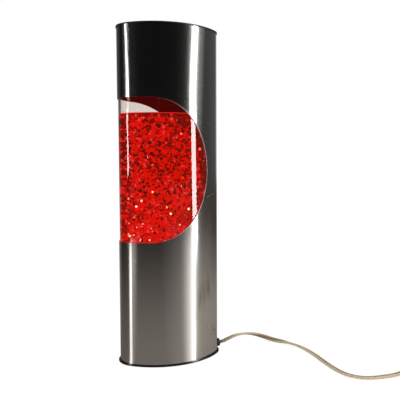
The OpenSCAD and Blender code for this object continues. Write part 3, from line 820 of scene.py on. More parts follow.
class Workshop:
    """Makes each finish once and puts pieces on their bodies."""

    def __init__(self) -> None:
        """Starts with no finish made."""
        self.made: dict[str, bpy.types.Material] = {}

    def material(self, finish: Finish) -> bpy.types.Material:
        """The finish's material, made at its first use.

        Args:
            finish: the finish.

        Returns:
            Its material.
        """
        if finish.name not in self.made:
            self.made[finish.name] = finish.paint()
        return self.made[finish.name]

    def dress(self, finish: Finish, *nodes: str) -> None:
        """Gives solids a finish.

        Args:
            finish: the finish.
            nodes: names of the solids.
        """
        for name in nodes:
            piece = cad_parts[name]
            piece.data.materials.clear()
            piece.data.materials.append(self.material(finish))
            LOG.info("%s: %s", name, finish.name)

    def piece(
        self, name: str, mesh: bpy.types.Mesh, finish: Finish, body: Body, slot: str, *stands_for: str
    ) -> bpy.types.Object:
        """Puts a mesh in the scene as a piece of the lamp.

        Args:
            name: the piece's name.
            mesh: its mesh, in place.
            finish: its finish.
            body: what it moves with.
            slot: not used.
            stands_for: the solids that it stands for.

        Returns:
            The piece.
        """
        made = bpy.data.objects.new(name, mesh)
        bpy.context.scene.collection.objects.link(made)
        if not mesh.materials:
            mesh.materials.append(self.material(finish))
        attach(made, body.value)
        if stands_for:
            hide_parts(*stands_for)
        LOG.info("%s: %d faces, %s", name, len(mesh.polygons), finish.name)
        return made


def prism(name: str, outer: Outline, low: float, high: float, *cuts: float) -> bpy.types.Mesh:
    """A closed upright prism with a smooth side and sharp rims.

    Args:
        name: the mesh's name.
        outer: its outline, against the clock.
        low: height of its foot.
        high: height of its top.
        cuts: heights between them at which its side is divided.

    Returns:
        The mesh.
    """
    shape = bmesh.new()
    rings = [[shape.verts.new((x, y, z)) for x, y in outer] for z in (low, *cuts, high)]
    count = len(outer)
    for ring, above in zip(rings, rings[1:]):
        for k in range(count):
            n = (k + 1) % count
            shape.faces.new((ring[k], ring[n], above[n], above[k])).smooth = True
    shape.faces.new(rings[0][::-1])
    shape.faces.new(rings[-1])
    return settle(shape, name)


def hoop(name: str, outer: Outline, inner: Outline, low: float, high: float) -> bpy.types.Mesh:
    """A closed upright wall between two outlines of as many points each.

    Args:
        name: the mesh's name.
        outer: its outer outline, against the clock.
        inner: its inner outline, against the clock.
        low: height of its foot.
        high: height of its top.

    Returns:
        The mesh.
    """
    shape = bmesh.new()
    walls = [[shape.verts.new((x, y, z)) for x, y in line] for line in (outer, inner) for z in (low, high)]
    out_low, out_high, in_low, in_high = walls
    count = len(outer)
    for k in range(count):
        n = (k + 1) % count
        shape.faces.new((out_low[k], out_low[n], out_high[n], out_high[k])).smooth = True
        shape.faces.new((in_low[n], in_low[k], in_high[k], in_high[n])).smooth = True
        shape.faces.new((out_high[k], out_high[n], in_high[n], in_high[k]))
        shape.faces.new((out_low[n], out_low[k], in_low[k], in_low[n]))
    return settle(shape, name)


def settle(shape: bmesh.types.BMesh, name: str, sharp_deg: float = 40.0) -> bpy.types.Mesh:
    """Makes a mesh of a shape, with its steep edges sharp.

    Args:
        shape: the shape, which is freed.
        name: the mesh's name.
        sharp_deg: angle from which an edge is steep, in degrees.

    Returns:
        The mesh.
    """
    shape.normal_update()
    for edge in shape.edges:
        if len(edge.link_faces) == 2:
            edge.smooth = edge.calc_face_angle(0.0) < math.radians(sharp_deg)
    mesh = bpy.data.meshes.new(name)
    shape.to_mesh(mesh)
    shape.free()
    return mesh


def join(name: str, meshes: Sequence[bpy.types.Mesh], sharp_deg: float = 40.0) -> bpy.types.Mesh:
    """Makes one mesh of several.

    Args:
        name: the mesh's name.
        meshes: the meshes, which are removed.
        sharp_deg: angle from which an edge is steep, in degrees.

    Returns:
        The mesh.
    """
    shape = bmesh.new()
    for mesh in meshes:
        shape.from_mesh(mesh)
        bpy.data.meshes.remove(mesh)
    return settle(shape, name, sharp_deg)


def sweep(
    name: str, path: Sequence[Vector], rolls: Sequence[float], section: Outline, side: Optional[Vector] = None
) -> bpy.types.Mesh:
    """A closed tube along a path, with a UV map of the distance along it and the share round it.

    Args:
        name: the mesh's name.
        path: its centre line.
        rolls: the section's turn at each point, in degrees.
        section: its outline, against the clock.
        side: the section's first axis, or none for level and across the path.

    Returns:
        The mesh.
    """
    shape = bmesh.new()
    layer = shape.loops.layers.uv.new("run")
    rings, run = [], [0.0]
    last = len(path) - 1
    for i, point in enumerate(path):
        ahead = (path[min(i + 1, last)] - path[max(i - 1, 0)]).normalized()
        first = side or Vector((0, 0, 1)).cross(ahead).normalized()
        second = ahead.cross(first)
        c, s = math.cos(math.radians(rolls[i])), math.sin(math.radians(rolls[i]))
        turned = [(u * c - v * s, u * s + v * c) for u, v in section]
        rings.append([shape.verts.new(point + first * u + second * v) for u, v in turned])
        if i:
            run.append(run[-1] + (point - path[i - 1]).length)
    count = len(section)
    for i in range(last):
        for k in range(count):
            n = (k + 1) % count
            face = shape.faces.new((rings[i][k], rings[i][n], rings[i + 1][n], rings[i + 1][k]))
            face.smooth = True
            for loop, (a, b) in zip(face.loops, ((i, k), (i, k + 1), (i + 1, k + 1), (i + 1, k))):
                loop[layer].uv = (run[a], b / count)
    shape.faces.new(rings[0][::-1])
    shape.faces.new(rings[-1])
    return settle(shape, name, ROUND_SHARP_DEG)


def through(points: Sequence[Sequence[float]], step: float) -> list[Vector]:
    """A smooth curve through points of any size, at steps of about that length.

    Args:
        points: what it goes through; the first three numbers are its place.
        step: distance between its points.

    Returns:
        The curve's points, with as many numbers as the given ones.
    """
    rows = [Vector(p) for p in points]
    rows = [2 * rows[0] - rows[1], *rows, 2 * rows[-1] - rows[-2]]
    curve = []
    for a, b, c, d in zip(rows, rows[1:], rows[2:], rows[3:]):
        bend = 2 * a - 5 * b + 4 * c - d
        twist = 3 * b - a - 3 * c + d
        pieces = max(1, round((c - b).to_3d().length / step))
        for k in range(pieces):
            t = k / pieces
            curve.append(0.5 * (2 * b + (c - a) * t + bend * t**2 + twist * t**3))
    curve.append(rows[-2])
    return curve


# Sub-assemblies


@dataclass
class Housing:
    """The sleeve with its base, feet and screws.

    Args:
        shop: where the finishes are made.
        squarely: how squarely a face of the sleeve looks out or in, 1 at most, or else it is a cut edge.
    """

    shop: Workshop
    squarely: float = 0.7

    def sleeve(self) -> None:
        """Steel outside, lining inside and bright cut edges."""
        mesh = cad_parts["sleeve"].data
        mesh.materials.clear()
        for finish in (STEEL, LINING, CUT_EDGE):
            mesh.materials.append(self.shop.material(finish))
        for face in mesh.polygons:
            facing = face.normal.dot(OVAL.outward(face.center.x, face.center.y))
            face.material_index = 0 if facing > self.squarely else 1 if facing < -self.squarely else 2
        LOG.info("sleeve: three finishes")

    def build(self) -> None:
        """Dresses every piece of the housing."""
        self.sleeve()
        self.shop.dress(BLACK, "base_tray", "cord_bush", "grip_bar")
        self.shop.dress(RUBBER, "foot_pads", "shelf_seat")
        self.shop.dress(ZINC, "sleeve_screws", "tank_shelf", "shelf_legs", "grip_screws")


@dataclass
class Tank:
    """The clear tank, the fluid that fills it out to its outer face, and the glitter.

    Args:
        shop: where the pieces are made.
        outer: how far the tank is grown from the sleeve's outline.
        wall: thickness of its wall.
        foot: height of its underside.
        floor: height of the fluid's underside.
        level: height of the fluid's top.
        top: height of its rim.
        brim: height of the painted bright edge of the fluid.
        film: gap that keeps two faces apart.
        flakes: how many flakes there are.
        flake_width: a flake's width.
        flake_thick: a flake's thickness.
        flake_room: how far a flake's middle stays off the wall.
        strewn_x: how far the flakes reach to the left and right.
        strewn_low: how far they stay off the floor.
        strewn_high: how far they stay below the level.
        seed: seed of the flakes' places.
    """

    shop: Workshop
    outer: float = -1.0 * MM
    wall: float = 2.5 * MM
    foot: float = 116.5 * MM
    floor: float = 119.5 * MM
    level: float = 268.0 * MM
    top: float = 334.8 * MM
    brim: float = 0.9 * MM
    film: float = 0.02 * MM
    flakes: int = 3400
    flake_width: float = 3.3 * MM
    flake_thick: float = 0.12 * MM
    flake_room: float = 0.9 * MM
    strewn_x: float = 49.0 * MM
    strewn_low: float = 1.0 * MM
    strewn_high: float = 0.8 * MM
    seed: int = 11

    def clear_pieces(self) -> None:
        """The tank above the fluid and its floor, as one mesh, and the lid."""
        outer, inner = OVAL.loop(self.outer), OVAL.loop(self.outer - self.wall)
        wall = hoop("tank_wall", outer, inner, self.level + self.film, self.top)
        floor = prism("tank_floor", outer, self.foot, self.floor - self.film)
        mesh = join("clear_tank", (wall, floor))
        self.shop.piece("clear_tank", mesh, ACRYLIC, Body.TANK, "clear_acrylic", "tank_body")
        self.shop.dress(ACRYLIC, "tank_lid")
        self.shop.dress(RUBBER, "filler_seal")
        self.shop.dress(BLACK, "filler_plug")

    def fluid(self) -> None:
        """The fluid: against a clear wall it looks as wide as the tank."""
        outline = OVAL.loop(self.outer - self.film)
        mesh = prism("red_fluid", outline, self.floor, self.level, self.level - self.brim)
        for finish in (FLUID, BRIM):
            mesh.materials.append(self.shop.material(finish))
        for face in mesh.polygons:
            face.material_index = int(abs(face.normal.z) < 0.5 and face.center.z > self.level - self.brim)
        self.shop.piece("red_fluid", mesh, FLUID, Body.TANK, "red_fluid", "glitter_fluid")

    def half_depth(self, x: Term) -> Term:
        """How far the flakes reach to the front and back.

        Args:
            x: place along the oval.

        Returns:
            The distance from the oval's middle line.
        """
        reach = self.outer - self.wall - self.flake_room
        across = abs(x)
        side = ((OVAL.side_r + reach) ** 2 - across**2.0) ** 0.5 - OVAL.side_off
        end = ((OVAL.end_r + reach) ** 2 - (across - OVAL.end_x).larger(0.0) ** 2.0).larger(0.0) ** 0.5
        middle = across.below((OVAL.side_r + reach) / OVAL.side_r * OVAL.seam_x)
        return middle * side + (1.0 - middle) * end

    def glitter_tree(self) -> bpy.types.NodeTree:
        """The tree that strews flakes through the fluid.

        Returns:
            A geometry tree with inputs for the flakes' number, width, seed and finish and the fluid's box.
        """
        tree = bpy.data.node_groups.new("strew_glitter", "GeometryNodeTree")
        n = Nodes(tree)

        def drawn(low: float, high: float, draw: Draw) -> Term:
            """A random number for each flake."""
            values = {2: low, 3: high, "Seed": draw.value}
            return n.term("FunctionNodeRandomValue", 1, values, data_type="FLOAT")

        face = tree.interface
        for name, kind in (
            ("Flakes", "NodeSocketInt"), ("Width", "NodeSocketFloat"), ("Seed", "NodeSocketInt"),
            ("Low", "NodeSocketVector"), ("High", "NodeSocketVector"), ("Finish", "NodeSocketMaterial"),
        ):
            face.new_socket(name, in_out="INPUT", socket_type=kind)
        face.new_socket("Geometry", in_out="OUTPUT", socket_type="NodeSocketGeometry")
        given = n.node("NodeGroupInput").outputs
        spread = n.node(
            "FunctionNodeRandomValue", {0: given["Low"], 1: given["High"], "Seed": given["Seed"]},
            data_type="FLOAT_VECTOR",
        )
        x, share, z = n.parts(spread.outputs[0])
        side = share.above(0.0) * 2.0 - 1.0
        deep = side * abs(share) ** 0.45 * self.half_depth(x)
        place = n.node("ShaderNodeCombineXYZ", {"X": x, "Y": deep, "Z": z})
        kept = n.node("GeometryNodePoints", {"Count": given["Flakes"], "Position": place.outputs[0]})
        radius = Term(tree, given["Width"]) * 0.5
        flake = n.node(
            "GeometryNodeMeshCylinder", {"Vertices": 6, "Depth": self.flake_thick, "Radius": radius}
        )
        full_turn = (6.2832, 6.2832, 6.2832)
        turn = n.node(
            "FunctionNodeRandomValue", {0: (0.0, 0.0, 0.0), 1: full_turn, "Seed": Draw.TURN.value},
            data_type="FLOAT_VECTOR",
        )
        x, y, z = n.parts(n.node("GeometryNodeInputPosition").outputs[0])
        # Painted sparkles: more of them low down near the bulb, and only on flakes near the front.
        low = (z - self.floor) / (self.level - self.floor)
        front = 1.0 - (self.half_depth(x) + y).ramp(1 * MM, 4 * MM)
        chance = (1.0 - low) ** 4.0 * 0.8 + 0.03
        glow = drawn(0.0, 1.0, Draw.DICE).below(chance * front)
        laid = n.node(
            "GeometryNodeInstanceOnPoints",
            {
                "Points": kept.outputs[0], "Instance": flake.outputs[0], "Rotation": turn.outputs[0],
                "Scale": drawn(0.55, 1.25, Draw.SIZE) * (1.0 - glow * 0.28),
            },
        )
        for name, value in (("pick", drawn(0.0, 1.0, Draw.PICK)), ("glow", glow)):
            laid = n.node(
                "GeometryNodeStoreNamedAttribute",
                {"Geometry": laid.outputs[0], "Name": name, "Value": value},
                data_type="FLOAT", domain="INSTANCE",
            )
        real = n.node("GeometryNodeRealizeInstances", {0: laid.outputs[0]})
        dressed = n.node(
            "GeometryNodeSetMaterial", {"Geometry": real.outputs[0], "Material": given["Finish"]}
        )
        n.node("NodeGroupOutput", {"Geometry": dressed.outputs[0]})
        return tree

    def glitter(self) -> None:
        """Flakes that hang in the fluid, strewn by the tree and kept as one mesh."""
        values = {
            "Flakes": self.flakes, "Width": self.flake_width, "Seed": self.seed,
            "Low": (-self.strewn_x, -1.0, self.floor + self.strewn_low),
            "High": (self.strewn_x, 1.0, self.level - self.strewn_high),
            "Finish": self.shop.material(FOIL),
        }
        mesh = bake_tree("glitter", self.glitter_tree(), values)
        self.shop.piece("glitter", mesh, FOIL, Body.TANK, "foil", "glitter_flakes")

    def build(self) -> None:
        """Makes the tank and what is in it."""
        self.clear_pieces()
        self.fluid()
        self.glitter()


def bake_tree(name: str, tree: bpy.types.NodeTree, values: dict[str, object]) -> bpy.types.Mesh:
    """Runs a geometry tree and keeps its result as a plain mesh.

    Args:
        name: the mesh's name.
        tree: the geometry tree.
        values: its inputs by name.

    Returns:
        The mesh.
    """
    holder = bpy.data.objects.new(name + "_holder", bpy.data.meshes.new(name + "_holder"))
    bpy.context.scene.collection.objects.link(holder)
    run = holder.modifiers.new(name, "NODES")
    run.node_group = tree
    for item in tree.interface.items_tree:
        if item.in_out == "INPUT" and item.name in values:
            run[item.identifier] = values[item.name]
    graph = bpy.context.evaluated_depsgraph_get()
    mesh = bpy.data.meshes.new_from_object(holder.evaluated_get(graph))
    mesh.name = name
    holder.modifiers.remove(run)
    bpy.data.objects.remove(holder)
    return mesh


@dataclass
class Light:
    """The cap, the lampholder and the bulb."""

    shop: Workshop

    def build(self) -> None:
        """Dresses the solids that make light and the cap over the tank."""
        self.shop.dress(BLACK, "top_cap")
        self.shop.dress(ZINC, "holder_bracket", "bracket_screws")
        self.shop.dress(BRASS, "holder_nipple", "nipple_nut", "holder_terminals", "holder_thread")
        self.shop.dress(BRASS, "holder_tongue", "bulb_cap")
        self.shop.dress(IVORY, "holder_body", "holder_disc")
        self.shop.dress(SOLDER, "bulb_tip", "bulb_filament")
        self.shop.dress(BLACK_GLASS, "bulb_insulator")
        self.shop.dress(BULB_GLASS, "bulb_glass", "bulb_stem")


@dataclass
class Lead:
    """The flat twin lead with its in-line switch, coil, tie and plug.

    The width, thick, step and wire_r are in metres, and the other lengths in millimetres, as in the solids'
    source.

    Args:
        shop: where the pieces are made.
        width: the lead's width.
        thick: its thickness.
        step: distance between points along it.
        wire_r: radius of one of its wires.
        tip: where it comes out of the bush.
        loops: turns of the coil, on two layers.
        coil_r: radius of its outermost turn.
        pitch: from one turn to the next.
        layer: from one layer to the next.
        coil_x: its middle, to the right.
        coil_y: its middle, to the back.
        coil_low: height of its lower layer.
        switch_end: where the lead leaves the switch.
        lead_in: from there to the coil.
        straight_in: share of that which runs straight.
        lead_out: from the coil to the plug.
        slope_out: share of that over which it comes down.
        turn_steps: points on one turn of the coil.
        plug_z: height at which it meets the plug.
        wire_rows: x and z of the wires in the base.
        route: x, y, z and roll in degrees from the bush to the switch.
    """

    shop: Workshop
    width: float = 5.4 * MM
    thick: float = 2.7 * MM
    step: float = 1.6 * MM
    wire_r: float = 1.1 * MM
    tip: Point = (60.65, 0.0, 6.4)
    loops: float = 7.25
    coil_r: float = 36.0
    pitch: float = 3.6
    layer: float = 6.3
    coil_x: float = 304.0
    coil_y: float = -116.0
    coil_low: float = 3.7
    switch_end: Point = (270.0, -152.0, 7.0)
    lead_in: float = 34.0
    straight_in: float = 0.18
    lead_out: float = 26.0
    slope_out: float = 0.78
    turn_steps: int = 24
    plug_z: float = 6.5
    wire_rows: Outline = (
        (29, 6.4), (27.5, 6.4), (22, 5.0), (15, 4.3), (8, 3.3), (3.4, 4.1), (1, 6.7), (0, 10.3), (0, 23.4),
    )
    route: tuple[Row, ...] = (
        (60.65, 0, 6.4, 0), (62, 0, 6.4, 0), (66, 0.2, 6.7, 0), (72, 2, 7.6, -3), (79, 5, 8.3, -6),
        (86, 8.5, 8.3, -10), (93, 11.2, 7.9, -14), (98.5, 12.8, 7.5, -18), (104.5, 13.3, 6.9, -23),
        (110.8, 11.9, 6.1, -35),
        (116.5, 8.7, 5.1, -60), (121, 4.3, 4.2, -90), (124.2, -1.3, 3.7, -110), (127.2, -7.2, 3.3, -122),
        (131, -13.5, 3, -140), (135.5, -20, 2.9, -165), (139.5, -27, 2.8, -200), (143, -35, 2.7, -205),
        (145.5, -45, 2.4, -198), (146.5, -57, 2, -190), (146, -70, 1.8, -184), (144.5, -83, 1.7, -180),
        (143, -96, 1.6, -180), (142, -108, 1.6, -180), (142, -119, 1.6, -180), (143.5, -128.5, 1.6, -180),
        (147.5, -136.5, 1.6, -180), (154, -142.6, 1.6, -180), (162.5, -146, 1.6, -180),
        (172, -147.6, 1.6, -180), (182, -149, 1.8, -180), (192, -150.4, 3, -180),
        (202, -151.7, 5.8, -180), (206, -152, 6.7, -180), (209.5, -152, 7, -180), (212, -152, 7, -180),
    )

    def section(self) -> list[tuple[float, float]]:
        """The lead's outline: two round cores side by side with a groove between them.

        Returns:
            Points in order, against the clock.
        """
        core = self.thick / 2
        steps = 12
        arc = 300
        points = []
        for centre, first in ((self.width / 2 - core, -150), (core - self.width / 2, 30)):
            for k in range(steps + 1):
                a = math.radians(first + arc / steps * k)
                points.append((centre + core * math.cos(a), core * math.sin(a)))
        return points

    def tube(
        self, name: str, rows: Sequence[Row], *stands_for: str
    ) -> tuple[bpy.types.Object, list[Vector]]:
        """A stretch of lead through rows of x, y, z in millimetres and roll in degrees.

        Args:
            name: the piece's name.
            rows: what it goes through.
            stands_for: the solids that it stands for.

        Returns:
            The piece and its centre line.
        """
        curve = through([(x * MM, y * MM, z * MM, roll) for x, y, z, roll in rows], self.step)
        path = [p.to_3d() for p in curve]
        mesh = sweep(name, path, [p[3] for p in curve], self.section())
        return self.shop.piece(name, mesh, SKIN, Body.HOUSING, "tan_lead", *stands_for), path

    def coil_rows(self) -> list[Row]:
        """The coil from the switch to the plug: in on the lower layer, out on the upper one.

        Returns:
            Rows of x, y, z in millimetres and roll in degrees.
        """

        def ease(u: float) -> float:
            """A soft step from 0 to 1."""
            return (1 - math.cos(math.pi * min(max(u, 0.0), 1.0))) / 2

        x0, y0, z0 = self.switch_end
        rows = []
        for u in (0.0, self.straight_in, 0.4, 0.6, 0.8):
            bent = u - self.straight_in
            z = z0 + (self.coil_low - z0) * ease(bent / (1 - self.straight_in))
            rows.append((x0 + self.lead_in * u, y0, z, 90 * ease(bent / 0.7)))
        for k in range(round(self.loops * self.turn_steps) + 1):
            t = k / self.turn_steps
            r = self.coil_r - self.pitch * min(t, self.loops - t)
            a = 2 * math.pi * t - math.pi / 2
            z = self.coil_low + self.layer * ease(2 * (t - self.loops / 2) + 0.5)
            rows.append((self.coil_x + r * math.cos(a), self.coil_y + r * math.sin(a), z, 90.0))
        high = self.coil_low + self.layer
        for u in (0.25, 0.5, self.slope_out, 1.0):
            z = high + (self.plug_z - high) * ease(u / self.slope_out)
            rows.append((self.coil_x + self.coil_r, self.coil_y + self.lead_out * u, z, 90.0))
        return rows

    def wires(self) -> None:
        """The lead inside the base and its two wires up to the lampholder."""
        x, y, z = self.tip
        self.tube("lead_inside", [(px, y, z, 0.0) for px in (x, 52.0, 44.0, 36.0, 29.0)], "inner_lead")
        turns = [2 * math.pi * k / 12 for k in range(12)]
        ring = [(self.wire_r * math.cos(a), self.wire_r * math.sin(a)) for a in turns]
        wires = []
        for off in (-self.width / 4, self.width / 4):
            path = through([(px * MM, off, pz * MM) for px, pz in self.wire_rows], self.step)
            wires.append(sweep("wire", path, [0.0] * len(path), ring, Vector((0, 1, 0))))
        mesh = join("wires_inside", wires, ROUND_SHARP_DEG)
        self.shop.piece("wires_inside", mesh, SKIN, Body.HOUSING, "tan_lead", "inner_wires")

    def build(self) -> None:
        """Makes the lead and dresses what is on it."""
        self.shop.dress(BROWN, "switch_base", "switch_cover", "plug_body")
        self.shop.dress(ZINC, "switch_screws")
        self.shop.dress(BRASS, "switch_terminals", "switch_bridge", "plug_blades")
        self.shop.dress(IVORY, "switch_rocker")
        self.shop.dress(TAN, "switch_wire")
        self.shop.dress(BLACK, "coil_tie")
        self.wires()
        free, path = self.tube("lead_free", self.route, "cord_lead")
        run_length(path)
        coil, path = self.tube("lead_coil", self.coil_rows(), "cord_coil")
        run_length(path)


def run_length(path: Sequence[Vector]) -> float:
    """Length of a line of points."""
    return sum((b - a).length for a, b in zip(path, path[1:]))


@dataclass(frozen=True)
class SoftLight:
    """A flat light that faces the lamp.

    Args:
        name: the light's name.
        bearing: its direction from the lamp, in degrees from +X.
        height: height of its middle.
        size: its width and height.
        radiance: its brightness, 1 for white.
        lean: how far its top leans to the lamp's right, in degrees.
        distance: how far it stands off.
        aim: height that it faces, or none for level.
    """

    name: str
    bearing: float
    height: float
    size: tuple[float, float]
    radiance: float
    lean: float = 0.0
    distance: float = 1.0
    aim: Optional[float] = None

    def hang(self) -> None:
        """Puts the light in the studio."""
        data = bpy.data.lights.new(self.name, "AREA")
        data.shape = "RECTANGLE"
        data.size, data.size_y = self.size
        data.energy = self.radiance * math.pi * self.size[0] * self.size[1]
        light = bpy.data.objects.new(self.name, data)
        bpy.context.scene.collection.objects.link(light)
        a = math.radians(self.bearing)
        place = Vector((self.distance * math.cos(a), self.distance * math.sin(a), self.height))
        drop = 0.0 if self.aim is None else self.aim - self.height
        turn = Vector((-place.x, -place.y, drop)).to_track_quat("-Z", "Y").to_matrix().to_4x4()
        lean = Matrix.Rotation(math.radians(self.lean), 4, "Z")
        light.matrix_world = Matrix.Translation(place) @ turn @ lean
        LOG.info("%s: light", self.name)


@dataclass
class Studio:
    """The photograph's camera, a pale floor, a white surround and soft strip lights.

    Args:
        focal_px: the camera's focal length in pixels of the photograph.
        picture_px: the photograph's width.
        eye: the camera's place.
        yaw: where it looks, in degrees to the right of +Y.
        pitch: how far it looks up, in degrees.
        roll: how far it is turned about its view, in degrees.
        floor_half: half the floor's width.
        floor_tone: the floor's colour as the lamp is lit by it.
        shadow_tone: the floor's colour as the camera sees it.
        floor_light: light that the floor adds for the camera, to be white.
        haze_tone: colour of the painted haze on the floor that the steel mirrors.
        beam_tone: colour of the painted beams on the floor that the steel mirrors.
        ambient: brightness of the surround as a light.
        lights: the strip lights.
    """

    focal_px: float = 526.556
    picture_px: float = 400.0
    eye: Point = (-0.191835, -0.552344, 0.211322)
    yaw: float = 22.545
    pitch: float = -3.583
    roll: float = -0.258
    floor_half: float = 6.0
    floor_tone: Colour = (0.7, 0.69, 0.68)
    shadow_tone: Colour = (0.2, 0.2, 0.2)
    floor_light: float = 0.9
    haze_tone: Colour = (1.0, 0.9, 0.82)
    beam_tone: Colour = (1.0, 0.97, 0.94)
    ambient: float = 0.5
    lights: tuple[SoftLight, ...] = (
        SoftLight("right_high", -36.0, 0.66, (0.136, 0.675), 10.0, -30.0),
        SoftLight("right_low", -40.75, 0.185, (0.16, 0.374), 8.5, 8.2),
        SoftLight("right_haze", -21.5, 0.708, (0.22, 0.754), 0.16, -26.3),
        SoftLight("left_high", -176.0, 0.689, (0.071, 0.777), 8.0, 39.6),
        SoftLight("left_low", -170.3, 0.2875, (0.15, 0.195), 8.0, 10.0),
        SoftLight("soft_top", 70.0, 1.6, (1.2, 1.2), 0.6, distance=0.5, aim=0.2),
    )

    def camera(self) -> None:
        """The camera at the photograph's place."""
        data = bpy.data.cameras.new("photo_camera")
        data.sensor_width = 36.0
        data.lens = self.focal_px / self.picture_px * data.sensor_width
        data.clip_start, data.clip_end = 0.01, 50.0
        eye = bpy.data.objects.new("photo_camera", data)
        bpy.context.scene.collection.objects.link(eye)
        yaw, pitch, roll = (math.radians(a) for a in (self.yaw, self.pitch, self.roll))
        ahead = Vector((math.sin(yaw) * math.cos(pitch), math.cos(yaw) * math.cos(pitch), math.sin(pitch)))
        right = Vector((math.cos(yaw), -math.sin(yaw), 0.0))
        up = right.cross(ahead)
        across = right * math.cos(roll) + up * math.sin(roll)
        top = up * math.cos(roll) - right * math.sin(roll)
        turn = Matrix((across, top, -ahead)).transposed().to_4x4()
        eye.matrix_world = Matrix.Translation(self.eye) @ turn
        bpy.context.scene.camera = eye

    def beam(self, x: Term, y: Term, start: tuple[float, float], bearing: float) -> tuple[Term, Term]:
        """Places on the floor as a beam of light from the lamp sees them.

        Args:
            x: across the floor.
            y: along the floor.
            start: where the beam starts.
            bearing: where it goes, in degrees from +X.

        Returns:
            How far out a place is, and how far it lies to the beam's left as a share of that.
        """
        c, s = math.cos(math.radians(bearing)), math.sin(math.radians(bearing))
        out = (x - start[0]) * c + (y - start[1]) * s
        return out, ((y - start[1]) * c - (x - start[0]) * s) / out.larger(0.01)

    def haze(self, x: Term, y: Term) -> Term:
        """Painted light on the floor, seen only in the steel: pale round the lamp, dark further out.

        Args:
            x: across the floor.
            y: along the floor.

        Returns:
            The brightness.
        """
        r = (x**2.0 + y**2.0) ** 0.5
        near = (1.0 - r.ramp(0.1, 0.75)) ** 1.2 * 0.19 + (1.0 - r.ramp(0.95, 1.1)) * 0.05
        left_side = ((-y / r).ramp(0.0, 0.5) * 0.35 + 0.65) * x.below(0.0)
        right_side = x.above(0.0) * (x.ramp(0.02, 0.25) * 0.75 + 1.0)
        back = (y / r).ramp(0.6, 1.0) ** 2.0 * x.below(0.0) * 0.3
        return near * (left_side + right_side) + back + x.ramp(0.1, 0.6) * 0.05 + 0.012

    def left_beam(self, x: Term, y: Term) -> Term:
        """Brightness of the painted beam of light on the floor that the sleeve's left end mirrors.

        Args:
            x: across the floor.
            y: along the floor.

        Returns:
            The brightness.
        """
        out, turn = self.beam(x, y, (-0.0319, -0.0102), -159.6)
        turn = turn + (1.0 - out.ramp(0.07, 0.9)) * 0.08
        core = turn.ramp(-0.12, -0.04) * (1.0 - turn.ramp(0.03, 0.1)) * 1.6
        flank = (1.0 - turn.ramp(0.04, 0.27)) * turn.above(-0.02) * 0.75
        level = (core + flank) * (out.ramp(0.08, 0.6) * 0.7 + 0.8)
        return level * out.above(0.0) * (1.0 - out.ramp(0.97, 1.07))

    def right_beam(self, x: Term, y: Term) -> Term:
        """Brightness of the painted beam of light on the floor that the sleeve's right end mirrors.

        Args:
            x: across the floor.
            y: along the floor.

        Returns:
            The brightness.
        """
        out, turn = self.beam(x, y, (-0.006, -0.0135), -43.3)
        core = turn.ramp(-0.1, -0.055) * (1.0 - turn.ramp(0.065, 0.1)) * 1.9
        flank = turn.ramp(-0.5, -0.08) ** 2.0 * turn.below(0.0) * 1.15
        wide = turn.ramp(-1.7, -0.3) * (1.0 - turn.ramp(0.3, 1.3)) * 0.11
        soft = (1.0 - turn.ramp(0.06, 0.4)) ** 2.0 * turn.above(0.0) * 0.25
        return (core.larger(flank) + soft + wide) * out.above(0.0) * (1.0 - out.ramp(1.0, 1.3))

    def mirrored(self, p: Paint) -> bpy.types.Node:
        """The floor as the steel mirrors it: painted light, a pale haze and two beams.

        Args:
            p: the floor's material in the making.

        Returns:
            Its shader.
        """
        x, y, _ = p.parts(p.place())
        pale = p.node("ShaderNodeEmission", {"Color": self.haze_tone, "Strength": self.haze(x, y)})
        level = self.left_beam(x, y) + self.right_beam(x, y)
        beams = p.node("ShaderNodeEmission", {"Color": self.beam_tone, "Strength": level})
        return p.node("ShaderNodeAddShader", {0: pale.outputs[0], 1: beams.outputs[0]})

    def sight(self, n: Nodes) -> tuple[Term, Term]:
        """Tells rays that see a thing straight from rays that meet it in a mirror.

        Args:
            n: the tree.

        Returns:
            1 for a ray from the camera, also through clear pieces, and 1 for a mirrored or bent ray.
        """
        path = n.node("ShaderNodeLightPath")
        camera, glossy, passed, mirrors = (
            Term(n.tree, path.outputs[k])
            for k in ("Is Camera Ray", "Is Glossy Ray", "Is Transmission Ray", "Glossy Depth")
        )
        return camera.larger(passed * mirrors.below(0.5)), glossy.larger(passed)

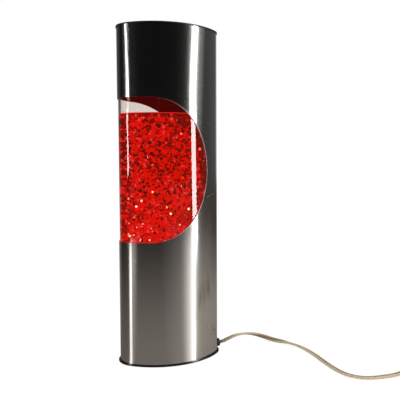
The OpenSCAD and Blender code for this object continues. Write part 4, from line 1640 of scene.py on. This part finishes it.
    def floor(self) -> None:
        """A pale floor that is white to the camera and keeps the lamp's shadow; the steel sees painted light
        on it instead.
        """
        p = Paint("pale_floor")
        seen, bent = self.sight(p)
        mirrored = bent * (1.0 - seen)
        own = p.node("ShaderNodeBsdfDiffuse", {"Color": p.blend(seen, self.floor_tone, self.shadow_tone)})
        white = p.node("ShaderNodeEmission", {"Color": (1.0, 1.0, 1.0), "Strength": seen * self.floor_light})
        plain = p.node("ShaderNodeAddShader", {0: own.outputs[0], 1: white.outputs[0]})
        both = p.node(
            "ShaderNodeMixShader", {0: mirrored, 1: plain.outputs[0], 2: self.mirrored(p).outputs[0]}
        )
        material = p.finish(both)
        h = self.floor_half
        mesh = bpy.data.meshes.new("floor")
        mesh.from_pydata([(-h, -h, 0), (h, -h, 0), (h, h, 0), (-h, h, 0)], [], [(0, 1, 2, 3)])
        mesh.materials.append(material)
        floor = bpy.data.objects.new("floor", mesh)
        bpy.context.scene.collection.objects.link(floor)

    def surround(self) -> None:
        """White behind everything; the steel sees a dim room in front and a paler one behind."""
        world = bpy.data.worlds.new("surround")
        bpy.context.scene.world = world
        world.use_nodes = True
        n = Nodes(world.node_tree)
        seen, bent = self.sight(n)
        x, y, _ = n.parts(n.node("ShaderNodeTexCoord").outputs["Generated"])
        behind = x * 0.5 + y * 0.87
        room = behind.ramp(0.0, 0.85) * 0.13 + behind.ramp(0.82, 1.0) * 0.45 + 0.003
        level = seen + (1.0 - seen) * (bent * room + (1.0 - bent) * self.ambient)
        light = n.node("ShaderNodeBackground", {"Color": (1.0, 1.0, 1.0), "Strength": level})
        n.node("ShaderNodeOutputWorld", {"Surface": light.outputs[0]})

    def build(self) -> None:
        """Sets up the camera, the floor and the light."""
        bpy.context.scene.view_settings.view_transform = "Standard"
        self.camera()
        self.floor()
        self.surround()
        for light in self.lights:
            light.hang()


def corner(point: Vector) -> list[float]:
    """A point as plain numbers."""
    return [round(v, 6) for v in point]


def main() -> None:
    """Builds the studio and the lamp's pieces in order, and logs each part as it is done."""
    logging.basicConfig(level=logging.INFO, format="%(name)s: %(message)s")
    shop = Workshop()
    Studio().build()
    for part in (Lead(shop), Housing(shop), Tank(shop), Light(shop)):
        part.build()
        LOG.info("%s done", type(part).__name__)


if __name__ == "__main__":
    main()
